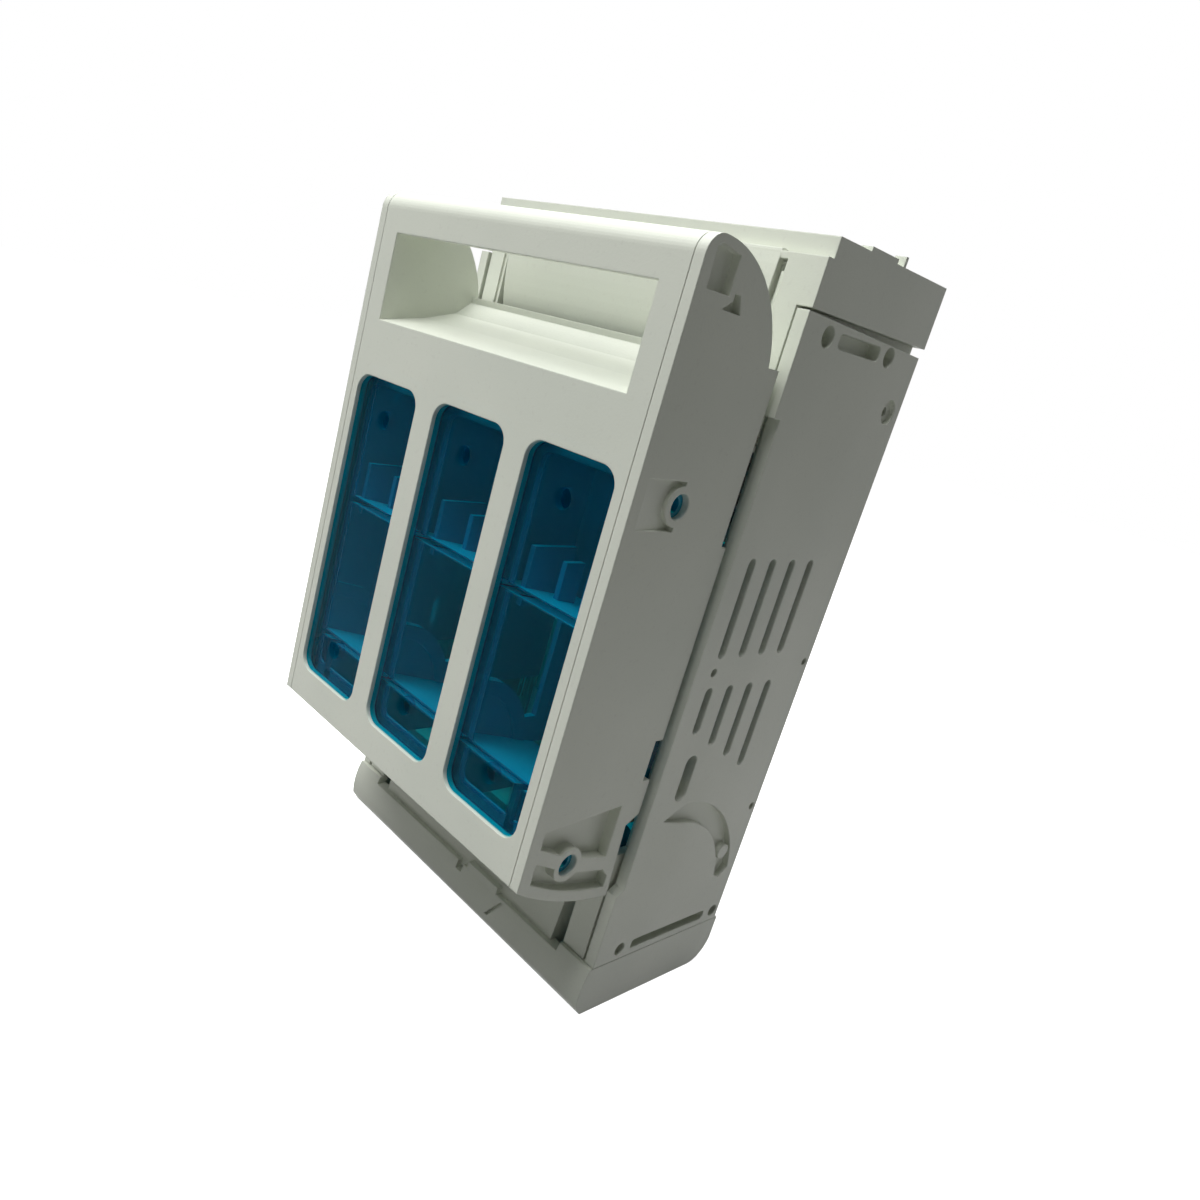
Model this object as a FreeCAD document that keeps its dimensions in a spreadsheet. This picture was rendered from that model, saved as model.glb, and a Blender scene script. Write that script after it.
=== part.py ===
import FreeCAD, Part
import math
import os
import re
import Sketcher

# Three-pole fuse switch disconnector, size 00, made to be screwed to a mounting plate.
# +X is to the right, +Y to the rear and +Z up. The origin is the middle of the bottom of
# the whole object's box. Every shape is drawn with Y counted from the lid's front plane,
# and each sub-part's placement then brings it forward by half of the overall depth.

# Driving dimensions in millimetres and degrees: name, value, meaning
SIZES = [
    ("base_width", 106, "base over its two side panels"),
    ("base_height", 192.4, "bottom of the lower shroud to the top of the upper one"),
    ("overall_depth", 90.3, "lid front to the mounting face"),
    ("pole_margin", 19.6, "side of the base to the middle of the outer pole"),
    ("fuse_centre", 86.5, "height of the middle of the fuse bays"),
    ("base_front", 36.4, "lid front to the faces beside the lower opening"),
    ("seat", 0.1, "clearance between mouldings that slip together"),
    ("swing_gap", 2, "clearance round the fuse carrier as it swings"),
    # Housing
    ("back_thick", 3, "back plate of the housing"),
    ("side_wall", 3, "side walls of the housing"),
    ("step_front", 42.5, "lid front to the housing inside the shrouds"),
    ("housing_bottom", 9, "height of the housing's lower edge"),
    ("barrier_thick", 2, "walls between the poles of the housing"),
    ("chamber_front", 50, "lid front to the walls of the arc chambers"),
    ("chamber_gap", 0.9, "walls between the poles to the upper shroud"),
    ("front_thick", 2.4, "front faces of the base"),
    ("housing_lip", 3, "how far the faces beside the lower opening reach rearward"),
    ("flange_width", 8, "front faces beside the lower opening"),
    ("flange_top", 45, "height of the upper end of these faces"),
    ("slit_gap", 0.8, "slit between these faces and the side panels"),
    ("bracket_thick", 3, "bearing walls of the pivot"),
    ("bracket_top", 40, "height of the bearing walls"),
    ("pillar_width", 6.1, "legs of the upper shroud beside the grip recess, with their slit"),
    ("pillar_height", 27.7, "legs below the upper shroud"),
    ("rib_thick", 1, "thin rib on each of these legs"),
    ("rib_setback", 0.6, "front of a leg to the front of its rib"),
    ("rib_depth", 3.5, "thin rib from front to rear"),
    ("rib_drop", 8.4, "top of the base to the top of the rib"),
    ("air_margin", 2.5, "opening in the housing round the ventilation slots"),
    ("mount_spacing", 34, "height between the mounting holes"),
    ("mount_hole_radius", 3.3, "mounting holes"),
    # Side panels
    ("panel_thick", 3, "side panels"),
    ("panel_front", 36.2, "lid front to the panel's foremost edges"),
    ("panel_rear_gap", 1.2, "mounting face to the panel's rear edge"),
    ("panel_bottom", 14.3, "height of the panel's lower edge"),
    ("panel_gap", 0.6, "panel's upper edge to the upper shroud"),
    ("panel_top_fall", 1.7, "how much that edge falls to the rear"),
    ("panel_setback", 2.3, "long stretch of the front edge behind the foremost ones"),
    ("panel_low_step", 35.4, "height of the lower step in the front edge"),
    ("panel_chamfer", 1.5, "slope of the lower step"),
    ("panel_step_drop", 22.5, "panel's top to the upper step in its front edge"),
    ("vent_count", 4, "ventilation slots in a row"),
    ("vent_width", 2.9, "ventilation slots"),
    ("vent_margin", 18, "mounting face to the last ventilation slot"),
    ("vent_first", 46.5, "lid front to the first ventilation slot"),
    ("vent_bottom", 98.8, "height of the lower end of the upper slots"),
    ("vent_top", 123.7, "height of the upper end of the upper slots"),
    ("low_vent_top", 91.3, "height of the upper end of the lower slots"),
    ("low_vent_bottom", 79, "height of the lower end of the first lower slot"),
    ("low_vent_step", 4.1, "how much longer each following lower slot is"),
    ("channel_margin", 6.5, "mounting face to the channel, level with the pivot"),
    ("channel_width", 6, "curved channel"),
    ("channel_depth", 1.8, "curved channel"),
    ("channel_low_angle", 14, "angle of the channel's lower end"),
    ("channel_high_angle", 86, "angle of the channel's upper end"),
    ("channel_mouth", 8, "length of the pointed mouth at the upper end"),
    ("stop_angle", 27, "angle of the round stop in the channel"),
    ("stop_radius", 2.2, "round stop in the channel"),
    ("oblong_front", 47, "lid front to the upright oblong hole"),
    ("oblong_width", 4.5, "upright oblong hole"),
    ("oblong_bottom", 60.2, "height of the lower end of the oblong hole"),
    ("oblong_top", 72.9, "height of the upper end of the oblong hole"),
    ("head_row_drop", 3.8, "panel's top to the row of holes below it"),
    ("head_hole_radius", 2.4, "round holes of that row"),
    ("head_hole_front", 46.2, "lid front to the first of them"),
    ("head_hole_margin", 15.6, "mounting face to the second of them"),
    ("head_slot_gap", 4.85, "middle of a hole to the slot between them"),
    ("head_slot_width", 3.4, "slot between them"),
    ("foot_row", 17.4, "height of the row of holes near the panel's foot"),
    ("foot_hole_radius", 1.8, "round holes of that row"),
    ("foot_hole_front", 45.2, "lid front to the first of them"),
    ("foot_hole_margin", 4.1, "mounting face to the second of them"),
    ("foot_slot_gap", 4.55, "middle of a hole to the slot between them"),
    ("foot_slot_width", 2.8, "slot between them"),
    ("pin_hole_radius", 1.1, "small holes near the panel's edges"),
    ("pin_hole_front", 45.8, "lid front to the small front hole"),
    ("pin_hole_margin", 3.3, "mounting face to the small rear holes"),
    ("pin_hole_high", 95.3, "height of the upper small holes"),
    ("pin_hole_low", 51.6, "height of the lower small hole"),
    ("dimple_radius", 3, "screw dimple"),
    ("dimple_depth", 1.2, "screw dimple"),
    ("dimple_margin", 6.6, "mounting face to the screw dimple"),
    ("dimple_drop", 15.6, "panel's top to the screw dimple"),
    # Pivot of the lid
    ("pivot_depth", 51.4, "lid front to the pivot"),
    ("pivot_height", 23.6, "height of the pivot"),
    ("pivot_radius", 4, "pivot pins"),
    ("pivot_play", 0.05, "radial running clearance of the pins"),
    # Lid
    ("lid_inset", 1.3, "side of the base to the lid's cheek"),
    ("lid_wall", 2.6, "front wall of the lid"),
    ("skin", 2, "thinner walls of the lid"),
    ("cheek_thick", 2.5, "cheeks of the lid"),
    ("seam", 0.15, "parting gap between frame and cheeks"),
    ("lid_bottom", 45.6, "height of the lid's lower front edge"),
    ("lid_drop", 7.7, "top of the base to the top of the lid"),
    ("nose_radius", 4.4, "front of the round top bar"),
    ("back_radius", 26.7, "upper rear arc of the lid"),
    ("lid_shoulder", 20.4, "top of the lid to the lower end of that arc"),
    ("lid_rear", 34.3, "lid front to the upper rear edge"),
    ("skirt_height", 14.3, "skirt below that edge"),
    ("cheek_rear", 36, "lid front to the cheeks' lower rear edge"),
    ("cheek_shoulder_drop", 38.7, "lower end of the arc to the upper end of that edge"),
    ("cheek_heel", 58.5, "height of the lower end of that edge"),
    ("cheek_tuck", 3.8, "how far the edge steps forward below it"),
    ("cheek_tuck_drop", 2.5, "height of that step"),
    ("catch_bottom", 67.7, "height of the catch notch in the cheeks"),
    ("catch_top", 78.3, "height of the upper end of the notch"),
    ("catch_depth", 2.6, "catch notch"),
    ("cheek_foot", 33.5, "lid front to the cheeks' rear lower corner"),
    ("cheek_foot_height", 36.2, "height of that corner"),
    ("belly_radius", 82, "arc along the lid's underside"),
    ("window_bar", 7.1, "bars of the lid between its windows"),
    ("window_band", 14.1, "lower lip of the grip to the windows"),
    ("window_bottom", 54.5, "height of the windows' lower edge"),
    ("window_corner", 4.4, "corner radius of the windows"),
    ("grip_post", 6.1, "posts of the lid beside the finger grip"),
    ("grip_height", 21.4, "opening of the finger grip"),
    ("bar_height", 10.1, "grip bar from top to bottom"),
    ("bar_depth", 14, "lid front to the rear of the grip bar"),
    ("scoop_rise_front", 2.8, "rise of the grip's floor over its first stretch"),
    ("scoop_run_front", 13.7, "first stretch of the grip's floor"),
    ("scoop_rise_rear", 5.8, "rise of the grip's floor to its steep end"),
    ("scoop_run_rear", 23.6, "lid front to the steep end of the grip's floor"),
    # Recesses and holes in the cheeks
    ("pocket_depth", 2.8, "lower recess in each cheek"),
    ("pocket_floor", 0.9, "walls of this recess"),
    ("pocket_front", 3.6, "lid front to the recess"),
    ("pocket_rear", 28.3, "lid front to the rear of the recess's upper part"),
    ("pocket_heel", 31.2, "lid front to the rear of the recess's lower part"),
    ("pocket_heel_top", 45, "height where the lower part begins"),
    ("pocket_top", 60, "height of the recess's upper edge at the front"),
    ("pocket_top_rise", 2.2, "rise of that edge to the rear"),
    ("pocket_margin", 2.7, "lid's underside to the recess"),
    ("spoke_width", 3.6, "ribs across the recess"),
    ("front_spoke", 54, "height of the front end of the front rib"),
    ("rear_spoke", 46.4, "height of the rear end of the rear rib"),
    ("ring_wall", 1.5, "rings round the pegs"),
    ("ramp_front", 3.1, "lid front to the sloping upper recess"),
    ("ramp_height", 10.6, "sloping recess"),
    ("ramp_depth", 1.7, "deep end of the sloping recess"),
    ("bar_hole_front", 3, "lid front to the hollow in the bar's end"),
    ("bar_hole_rear", 10.4, "lid front to the rear of that hollow"),
    ("bar_hole_height", 7.4, "hollow in the bar's end"),
    ("bar_hole_wall", 1.6, "lid's top to the peak of the hollow"),
    ("hole_depth", 1.9, "hollows near the cheeks' tops"),
    ("bar_hole_drop", 2.5, "lid's top to the hollow's upper corners"),
    ("hook_front", 9.2, "lid front to the hooked hollow"),
    ("hook_neck", 12, "lid front to the hooked hollow's neck"),
    ("hook_tip", 13.9, "lid front to its upper rear corner"),
    ("hook_rear", 15.5, "lid front to the rear of the hooked hollow"),
    ("hook_drop", 12.6, "lid's top to the hooked hollow's lower edge"),
    ("hook_shoulder_rise", 2, "its lower edge to its shoulder"),
    ("hook_top_rise", 3.5, "its lower edge to its upper end"),
    # Fuse carrier
    ("pane_face", 0.9, "lid front to the face of the window panes"),
    ("pane_gap", 0.3, "gap round a window pane"),
    ("pane_thick", 2, "window panes and front of the carrier"),
    ("carrier_gap", 0.3, "gap between carrier and the lid's front wall"),
    ("test_hole_radius", 2.4, "test holes in the panes"),
    ("test_hole_drop", 9.8, "windows' upper edge to the upper test holes"),
    ("test_hole_rise", 10.2, "windows' lower edge to the lower test holes"),
    ("carrier_inset", 1.5, "recess in a cheek to the carrier's outer wall"),
    ("carrier_wall", 1.2, "outer walls of the carrier"),
    ("partition_thick", 1.6, "carrier walls between the fuse bays"),
    ("carrier_bottom", 47, "height of the carrier's lower edge"),
    ("carrier_lap", 1.9, "windows' upper edge to the top of the carrier"),
    ("bay_margin", 10, "rear of the bay walls to the terminal bars"),
    ("bay_bottom", 60, "height of the bay walls' lower edge"),
    ("bay_drop", 14.1, "windows' upper edge to the top of the bay walls"),
    ("head_rear", 29, "lid front to the rear of the carrier's ends"),
    ("shelf_thick", 2, "shelves above and below a fuse"),
    ("high_shelf_drop", 32.7, "windows' upper edge to the front of the upper shelf"),
    ("high_shelf_fall", 4, "how much it falls to the rear"),
    ("low_shelf", 67, "height of the lower shelf at the front"),
    ("low_shelf_fall", 7, "how much it falls to the rear"),
    ("low_shelf_rear", 32, "lid front to the lower shelf's rear edge"),
    ("gap_bottom", 80.8, "height of the opening between neighbouring bays"),
    ("gap_drop", 4.4, "upper shelf to the opening's upper edge"),
    ("gap_rear", 28, "lid front to the rear of that opening"),
    ("gusset_height", 0.6, "raised edge of the bay walls"),
    ("gusset_width", 4, "raised edge of the bay walls"),
    ("gusset_radius", 22, "corner of that edge"),
    ("hook_thick", 1.4, "fuse hooks"),
    ("hook_spread", 10, "pole centre to the outer hooks"),
    ("hook_inner_spread", 4, "pole centre to the inner hooks"),
    ("hook_reach", 20.6, "lid front to the rear of the outer hooks"),
    ("hook_start", 6.8, "lid front to the outer hooks"),
    ("hook_rise", 9.2, "outer hooks above the upper shelf"),
    ("hook_inner_start", 11.7, "lid front to the inner hooks"),
    ("hook_inner_reach", 17.6, "lid front to the rear of the inner hooks"),
    ("hook_inner_rise", 7.5, "inner hooks above the upper shelf"),
    ("peg_radius", 2.75, "pegs that hold the carrier in the cheeks"),
    ("peg_play", 0.1, "radial clearance of the pegs"),
    ("peg_sink", 1.6, "pegs end this far inside the cheek's face"),
    ("peg_bore", 1.7, "radius of the hollow in a peg's end"),
    ("peg_bore_depth", 2.4, "hollow in a peg's end"),
    ("peg_drop", 5.2, "windows' upper edge to the upper pegs"),
    ("peg_high_depth", 15.2, "lid front to the upper pegs"),
    ("peg_low", 49.2, "height of the lower pegs"),
    ("peg_low_depth", 14.8, "lid front to the lower pegs"),
    ("arm_thick", 3, "pivot arms of the carrier"),
    ("arm_gap", 0.4, "gap between arms and bearing walls"),
    ("arm_hub", 7, "radius of the arms round the pivot"),
    ("arm_bend", 38, "height where the arms bend forward"),
    ("arm_elbow", 34, "lid front to the elbow's front end"),
    ("arm_elbow_height", 46, "height of the elbow's front end"),
    # Contacts
    ("blade_reach", 32.5, "fuse centre to the middle of a contact jaw"),
    ("blade_slot", 5.8, "gap between the fingers of a jaw"),
    ("finger_thick", 2, "contact fingers"),
    ("finger_height", 16, "contact fingers"),
    ("finger_flare", 1.4, "how far the finger tips bend outward"),
    ("flare_length", 3, "bent stretch of the finger tips"),
    ("finger_length", 22, "contact fingers in front of their bar"),
    ("bar_margin", 14.3, "mounting face to the front of the terminal bars"),
    ("bar_thick", 3, "terminal bars"),
    ("bar_width", 17, "terminal bars"),
    ("bar_end", 9, "terminal bolt to the end of its bar"),
    ("bar_tail", 3, "fingers to the other end of the bar"),
    ("spring_thick", 1.2, "jaw springs"),
    ("spring_corner", 1.8, "outer corners of the jaw springs"),
    ("spring_setback", 7, "tips of the fingers to the jaw springs"),
    ("spring_depth", 10, "jaw springs"),
    ("spring_leg", 13, "legs of the jaw springs"),
    ("bolt_radius", 4, "terminal bolts"),
    ("bolt_play", 0.3, "clearance round the bolts in bars and washers"),
    ("thread_play", 0.05, "clearance round the bolts in the nuts"),
    ("bolt_flats", 13, "terminal bolt heads and nuts across flats"),
    ("bolt_head", 5.3, "height of the bolt heads"),
    ("washer_thick", 1.6, "terminal washers"),
    ("washer_radius", 8, "terminal washers"),
    ("nut_height", 6.5, "terminal nuts"),
    ("high_bolt_drop", 25.4, "top of the base to the upper terminal bolts"),
    ("low_bolt", 25, "height of the lower terminal bolts"),
    ("rest_width", 22, "rests of the terminal bars"),
    ("rest_height", 20, "rests of the terminal bars"),
    # Arc chambers
    ("plate_thick", 1.2, "arc splitter plates"),
    ("plate_pitch", 4.4, "distance between splitter plates"),
    ("plate_count", 4, "splitter plates in a chamber"),
    ("plate_gap", 3, "lower end of the chamber walls to the lowest plate"),
    ("plate_depth", 20, "arc splitter plates from front to rear"),
    ("plate_margin", 13.3, "rear of the splitter plates to the back plate"),
    ("plate_notch", 8, "notch in the front of the splitter plates"),
    # Terminal shrouds
    ("shroud_wall", 2.8, "walls of the shrouds"),
    ("high_shroud_height", 14.5, "upper shroud"),
    ("high_shroud_front", 36.8, "lid front to the upper shroud"),
    ("high_shroud_brow", 4.4, "top of the upper shroud to the step in its front"),
    ("brow_lip", 1.5, "lip below that step, above the curved wall"),
    ("high_shroud_setback", 2.1, "depth of that step"),
    ("apron_gap", 1, "ribs on the base to the curved wall behind the finger grip"),
    ("apron_height", 36.5, "curved wall from top to bottom"),
    ("apron_recess", 8.2, "upper shroud's front to its lower edge"),
    ("apron_radius", 60, "its hollow curve"),
    ("apron_thick", 2, "its wall"),
    ("ledge_front", 52, "lid front to the low ledges on top"),
    ("ledge_rear", 64, "lid front to the rear of these ledges"),
    ("ledge_height", 1, "low ledges on top"),
    ("fin_depth", 67.1, "lid front to the thin fins on top"),
    ("fin_thick", 0.9, "thin fins on top"),
    ("fin_height", 2.2, "thin fins on top"),
    ("low_shroud_top", 14.1, "height of the lower shroud's upper edge"),
    ("low_shroud_lip", 12, "height of its front wall under the lid"),
    ("low_wall_top", 44, "height of the wall that rises behind the lid's foot"),
    ("low_wall_lean", 3, "how far this wall leans rearward"),
    ("low_wall_thick", 2, "this wall"),
    ("low_rib", 6, "depth of the ribs behind this wall's two ends"),
    ("low_shroud_front", 35.2, "lid front to its front wall's upper edge"),
    ("low_shroud_bulge", 20, "radius of its bulging front"),
    ("low_shroud_foot", 2.6, "height of the slope at the foot of the front"),
    ("low_shroud_slope", 2.2, "depth of that slope"),
    ("shroud_corner", 8, "radius of the lower shroud's rear corner"),
    ("entry_width", 22, "cable entries"),
    ("entry_margin", 10.3, "mounting face to the cable entries"),
    ("entry_depth", 24, "cable entries"),
    ("notch_side", 0.8, "middle of the lid to the notch in the front wall"),
    ("notch_width", 2.4, "notch in the front wall"),
    ("notch_bottom", 9.5, "height of the notch"),
    ("tab_side", 4.9, "middle of the lid to the raised tab"),
    ("tab_width", 12.8, "raised tab"),
    ("tab_bottom", 10, "height of the raised tab's foot"),
    ("tab_top", 14, "height of the raised tab's top"),
    ("slit_side", 15.8, "middle of the lid to the slanting groove"),
    ("slit_run", 4.4, "sideways run of the groove"),
    ("slit_bottom", 4.6, "height of the groove's lower end"),
    ("slit_top", 11, "height of the groove's upper end"),
    ("slit_width", 1, "slanting groove"),
    ("slit_depth", 0.8, "slanting groove"),
]

# Places worked out from the driving dimensions
PLACES = {
    "panel_inner": "base_width / 2 - panel_thick",
    "housing_inner": "panel_inner - side_wall",
    "housing_top": "base_height - shroud_wall",
    "back_inner": "overall_depth - back_thick",
    "flange_inner": "panel_inner - flange_width",
    "face_outer": "panel_inner - slit_gap",
    "pillar_inner": "panel_inner - pillar_width",
    "front_rear": "base_front + front_thick",
    "barrier_inner": "partition - barrier_thick / 2",
    "barrier_outer": "partition + barrier_thick / 2",
    "partition": "pole_pitch / 2",
    "barrier_front": "carrier_rear + swing_gap",
    "swing": "sqrt((carrier_rear - pivot_depth) ^ 2 + (bay_top - pivot_height) ^ 2)",
    "chamber_bottom": "pivot_height + swing + swing_gap",
    "cheek_outer": "base_width / 2 - lid_inset",
    "cheek_inner": "cheek_outer - cheek_thick",
    "pocket_inner": "cheek_outer - pocket_depth - pocket_floor",
    "frame_side": "cheek_inner - seam",
    "lid_top": "base_height - lid_drop",
    "lid_crease": "lid_top - nose_radius",
    "back_centre": "lid_top - back_radius",
    "back_end": "nose_radius + sqrt(back_radius ^ 2 - (lid_step - back_centre) ^ 2)",
    "inner_back_end": "nose_radius + sqrt((back_radius - skin) ^ 2 - (lid_step - back_centre) ^ 2)",
    "foot_fall": "lid_bottom - cheek_foot_height",
    "belly_chord": "sqrt(cheek_foot ^ 2 + foot_fall ^ 2)",
    "belly_rise": "sqrt(belly_radius ^ 2 - belly_chord ^ 2 / 4)",
    "belly_y": "cheek_foot / 2 + belly_rise * foot_fall / belly_chord",
    "belly_z": "lid_bottom - foot_fall / 2 + belly_rise * cheek_foot / belly_chord",
    "window_top": "grip_bottom - window_band",
    "grip_side": "frame_side - grip_post",
    "carrier_side": "pocket_inner - carrier_inset",
    "carrier_front": "lid_wall + carrier_gap",
    "carrier_back": "carrier_front + pane_thick",
    "arm_outer": "flange_inner - arm_gap",
    "rest_front": "bar_front + bar_thick",
    "high_jaw": "fuse_centre + blade_reach",
    "low_jaw": "fuse_centre - blade_reach",
    "jaw_half": "blade_slot / 2 + finger_thick",
    "high_fingers": "high_jaw + finger_height / 2",
    "low_fingers": "low_jaw - finger_height / 2",
    "washer_front": "bar_front - washer_thick",
    "shroud_inner": "panel_inner + 2 * seat",
    "pole_pitch": "base_width / 2 - pole_margin",
    "window_width": "pole_pitch - window_bar",
    "apron_side": "pillar_inner - rib_thick - apron_gap",
    "vent_pitch": "(overall_depth - vent_margin - vent_first) / (vent_count - 1)",
    "channel_radius": "overall_depth - pivot_depth - channel_margin",
    "head_hole_rear": "overall_depth - head_hole_margin",
    "head_slot_front": "head_hole_front + head_slot_gap",
    "head_slot_rear": "head_hole_rear - head_slot_gap",
    "foot_hole_rear": "overall_depth - foot_hole_margin",
    "foot_slot_front": "foot_hole_front + foot_slot_gap",
    "foot_slot_rear": "foot_hole_rear - foot_slot_gap",
    "pin_hole_rear": "overall_depth - pin_hole_margin",
    "dimple_rear": "overall_depth - dimple_margin",
    "bar_front": "overall_depth - bar_margin",
    "jaw_front": "bar_front - finger_length",
    "spring_front": "jaw_front + spring_setback",
    "carrier_rear": "bar_front - bay_margin",
    "plate_rear": "back_inner - plate_margin",
    "plate_front": "plate_rear - plate_depth",
    "plate_first": "chamber_bottom + plate_gap",
    "entry_front": "overall_depth - entry_margin - entry_depth",
    "high_shroud_bottom": "base_height - high_shroud_height",
    "high_shroud_band": "base_height - high_shroud_brow",
    "brow_bottom": "high_shroud_band - brow_lip",
    "chamber_top": "high_shroud_bottom - chamber_gap",
    "pillar_bottom": "high_shroud_bottom - pillar_height",
    "skirt_bottom": "lid_step - skirt_height",
    "apron_bottom": "brow_bottom - apron_height",
    "panel_top": "high_shroud_bottom - panel_gap",
    "panel_high_step": "panel_top - panel_step_drop",
    "head_row": "panel_top - head_row_drop",
    "dimple_height": "panel_top - dimple_drop",
    "lid_step": "lid_top - lid_shoulder",
    "cheek_shoulder": "lid_step - cheek_shoulder_drop",
    "grip_top": "lid_top - bar_height",
    "grip_bottom": "grip_top - grip_height",
    "bar_hole_top": "lid_top - bar_hole_drop",
    "bar_hole_bottom": "bar_hole_top - bar_hole_height",
    "hook_bottom": "lid_top - hook_drop",
    "hook_shoulder": "hook_bottom + hook_shoulder_rise",
    "hook_top": "hook_bottom + hook_top_rise",
    "test_hole_high": "window_top - test_hole_drop",
    "test_hole_low": "window_bottom + test_hole_rise",
    "carrier_top": "window_top + carrier_lap",
    "bay_top": "window_top - bay_drop",
    "high_shelf": "window_top - high_shelf_drop",
    "gap_top": "high_shelf - gap_drop",
    "peg_high": "window_top - peg_drop",
    "high_bolt": "base_height - high_bolt_drop",
}

doc = FreeCAD.newDocument("fuse_switch_disconnector")
sheet = doc.addObject("Spreadsheet::Sheet", "Sizes")
for row, (name, number, meaning) in enumerate(SIZES, start=1):
    sheet.set("A%d" % row, name)
    sheet.set("B%d" % row, str(number))
    sheet.set("C%d" % row, meaning)
    sheet.setAlias("B%d" % row, name)
doc.recompute()
ALIASES = {name for name, number, meaning in SIZES}
COUNTS = {name: number for name, number, meaning in SIZES if name.endswith("_count")}
POLES = ("0 - pole_pitch", "0", "pole_pitch")
parts = []


def formula(text):
    """The text with each dimension's name written as the sheet's, and each place worked out."""

    def resolve(word):
        name = word.group()
        if name in ALIASES:
            return "Sizes." + name
        if name in PLACES:
            return "(" + formula(PLACES[name]) + ")"
        return name

    return re.sub(r"[a-z][a-z_]*", resolve, str(text))


def value(text):
    """The number that a formula gives now."""
    return float(sheet.evalExpression(formula(text)))


def bind(thing, prop, text):
    thing.setExpression(prop, formula(text))


def box(across, along, up):
    """Box between two formulas in each of X, Y and Z."""
    solid = doc.addObject("Part::Box", "Block")
    spans = (("Length", "x", across), ("Width", "y", along), ("Height", "z", up))
    for size, axis, (low, high) in spans:
        bind(solid, size, f"({high}) - ({low})")
        bind(solid, "Placement.Base." + axis, low)
    return solid


TURNS = {
    "x": FreeCAD.Rotation(FreeCAD.Vector(0, 1, 0), 90),
    "y": FreeCAD.Rotation(FreeCAD.Vector(1, 0, 0), -90),
    "z": FreeCAD.Rotation(),
}


def place_along(solid, axis, centre, low):
    """Lay a solid that grows along its own Z on an axis, through a centre across that axis."""
    solid.Placement = FreeCAD.Placement(FreeCAD.Vector(), TURNS[axis])
    bind(solid, "Placement.Base." + axis, low)
    for other, text in zip("xyz".replace(axis, ""), centre):
        bind(solid, "Placement.Base." + other, text)
    return solid


def rod(axis, centre, radius, span):
    """Cylinder along an axis, between two formulas."""
    solid = doc.addObject("Part::Cylinder", "Rod")
    bind(solid, "Radius", radius)
    bind(solid, "Height", f"({span[1]}) - ({span[0]})")
    return place_along(solid, axis, centre, span[0])


def hexagon(axis, centre, flats, span):
    """Six-sided prism along an axis, between two formulas."""
    solid = doc.addObject("Part::Prism", "Hexagon")
    solid.Polygon = 6
    bind(solid, "Circumradius", f"({flats}) / sqrt(3)")
    bind(solid, "Height", f"({span[1]}) - ({span[0]})")
    return place_along(solid, axis, centre, span[0])


def arc_centre(start, end, radius):
    """Centre of the short arc between two points; a positive radius turns left."""
    run = end - start
    half = run.Length / 2
    rise = math.sqrt(radius * radius - half * half)
    left = FreeCAD.Vector(-run.y, run.x, 0).normalize()
    return (start + end) / 2 + left * math.copysign(rise, radius)


def arc_between(start, end, radius):
    """Short arc between two points, drawn anticlockwise as a sketch needs it."""
    centre = arc_centre(start, end, radius)
    low, high = (start, end) if radius > 0 else (end, start)
    turn_low = math.atan2((low - centre).y, (low - centre).x)
    turn_high = math.atan2((high - centre).y, (high - centre).x)
    if turn_high < turn_low:
        turn_high += 2 * math.pi
    circle = Part.Circle(centre, FreeCAD.Vector(0, 0, 1), abs(radius))
    return Part.ArcOfCircle(circle, turn_low, turn_high)


def fix_point(sketch, geometry, corner, texts, place):
    """Tie one point of a sketch to two formulas, counted from the sketch's origin."""
    for kind, text, number in zip(("DistanceX", "DistanceY"), texts, place):
        rule = sketch.addConstraint(Sketcher.Constraint(kind, -1, 1, geometry, corner, number))
        bind(sketch, f"Constraints[{rule}]", text)


def draw(sketch, points):
    """Closed outline in a sketch. Each point is two formulas; a third one makes the stretch
    that ends there an arc of that radius, which turns left if positive and right if not."""
    spots = [FreeCAD.Vector(value(point[0]), value(point[1]), 0) for point in points]
    first = sketch.GeometryCount
    shapes = []
    begins = []
    radii = []
    for index, spot in enumerate(spots):
        following = (index + 1) % len(spots)
        radius = points[following][2] if len(points[following]) == 3 else None
        if radius is None:
            shapes.append(Part.LineSegment(spot, spots[following]))
            begins.append(1)
            continue
        shapes.append(arc_between(spot, spots[following], value(radius)))
        begins.append(1 if value(radius) > 0 else 2)
        radii.append((first + index, f"abs({radius})"))
    sketch.addGeometry(shapes, False)
    for index, (point, spot) in enumerate(zip(points, spots)):
        following = (index + 1) % len(spots)
        joint = (first + index, 3 - begins[index], first + following, begins[following])
        sketch.addConstraint(Sketcher.Constraint("Coincident", *joint))
        fix_point(sketch, first + index, begins[index], point, (spot.x, spot.y))
    for geometry, text in radii:
        rule = sketch.addConstraint(Sketcher.Constraint("Radius", geometry, value(text)))
        bind(sketch, f"Constraints[{rule}]", text)


def ring(sketch, centre, radius):
    """Circle in a sketch."""
    middle = FreeCAD.Vector(value(centre[0]), value(centre[1]), 0)
    circle = Part.Circle(middle, FreeCAD.Vector(0, 0, 1), value(radius))
    index = sketch.addGeometry(circle, False)
    fix_point(sketch, index, 3, centre, (middle.x, middle.y))
    rule = sketch.addConstraint(Sketcher.Constraint("Radius", index, value(radius)))
    bind(sketch, f"Constraints[{rule}]", radius)


def rounded(low, high, corner):
    """Outline of a rectangle between two corner points, with rounded corners."""
    (left, bottom), (right, top) = low, high
    return [
        (f"{left} + {corner}", bottom, corner),
        (f"{right} - ({corner})", bottom),
        (right, f"{bottom} + {corner}", corner),
        (right, f"{top} - ({corner})"),
        (f"{right} - ({corner})", top, corner),
        (f"{left} + {corner}", top),
        (left, f"{top} - ({corner})", corner),
        (left, f"{bottom} + {corner}"),
    ]


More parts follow.
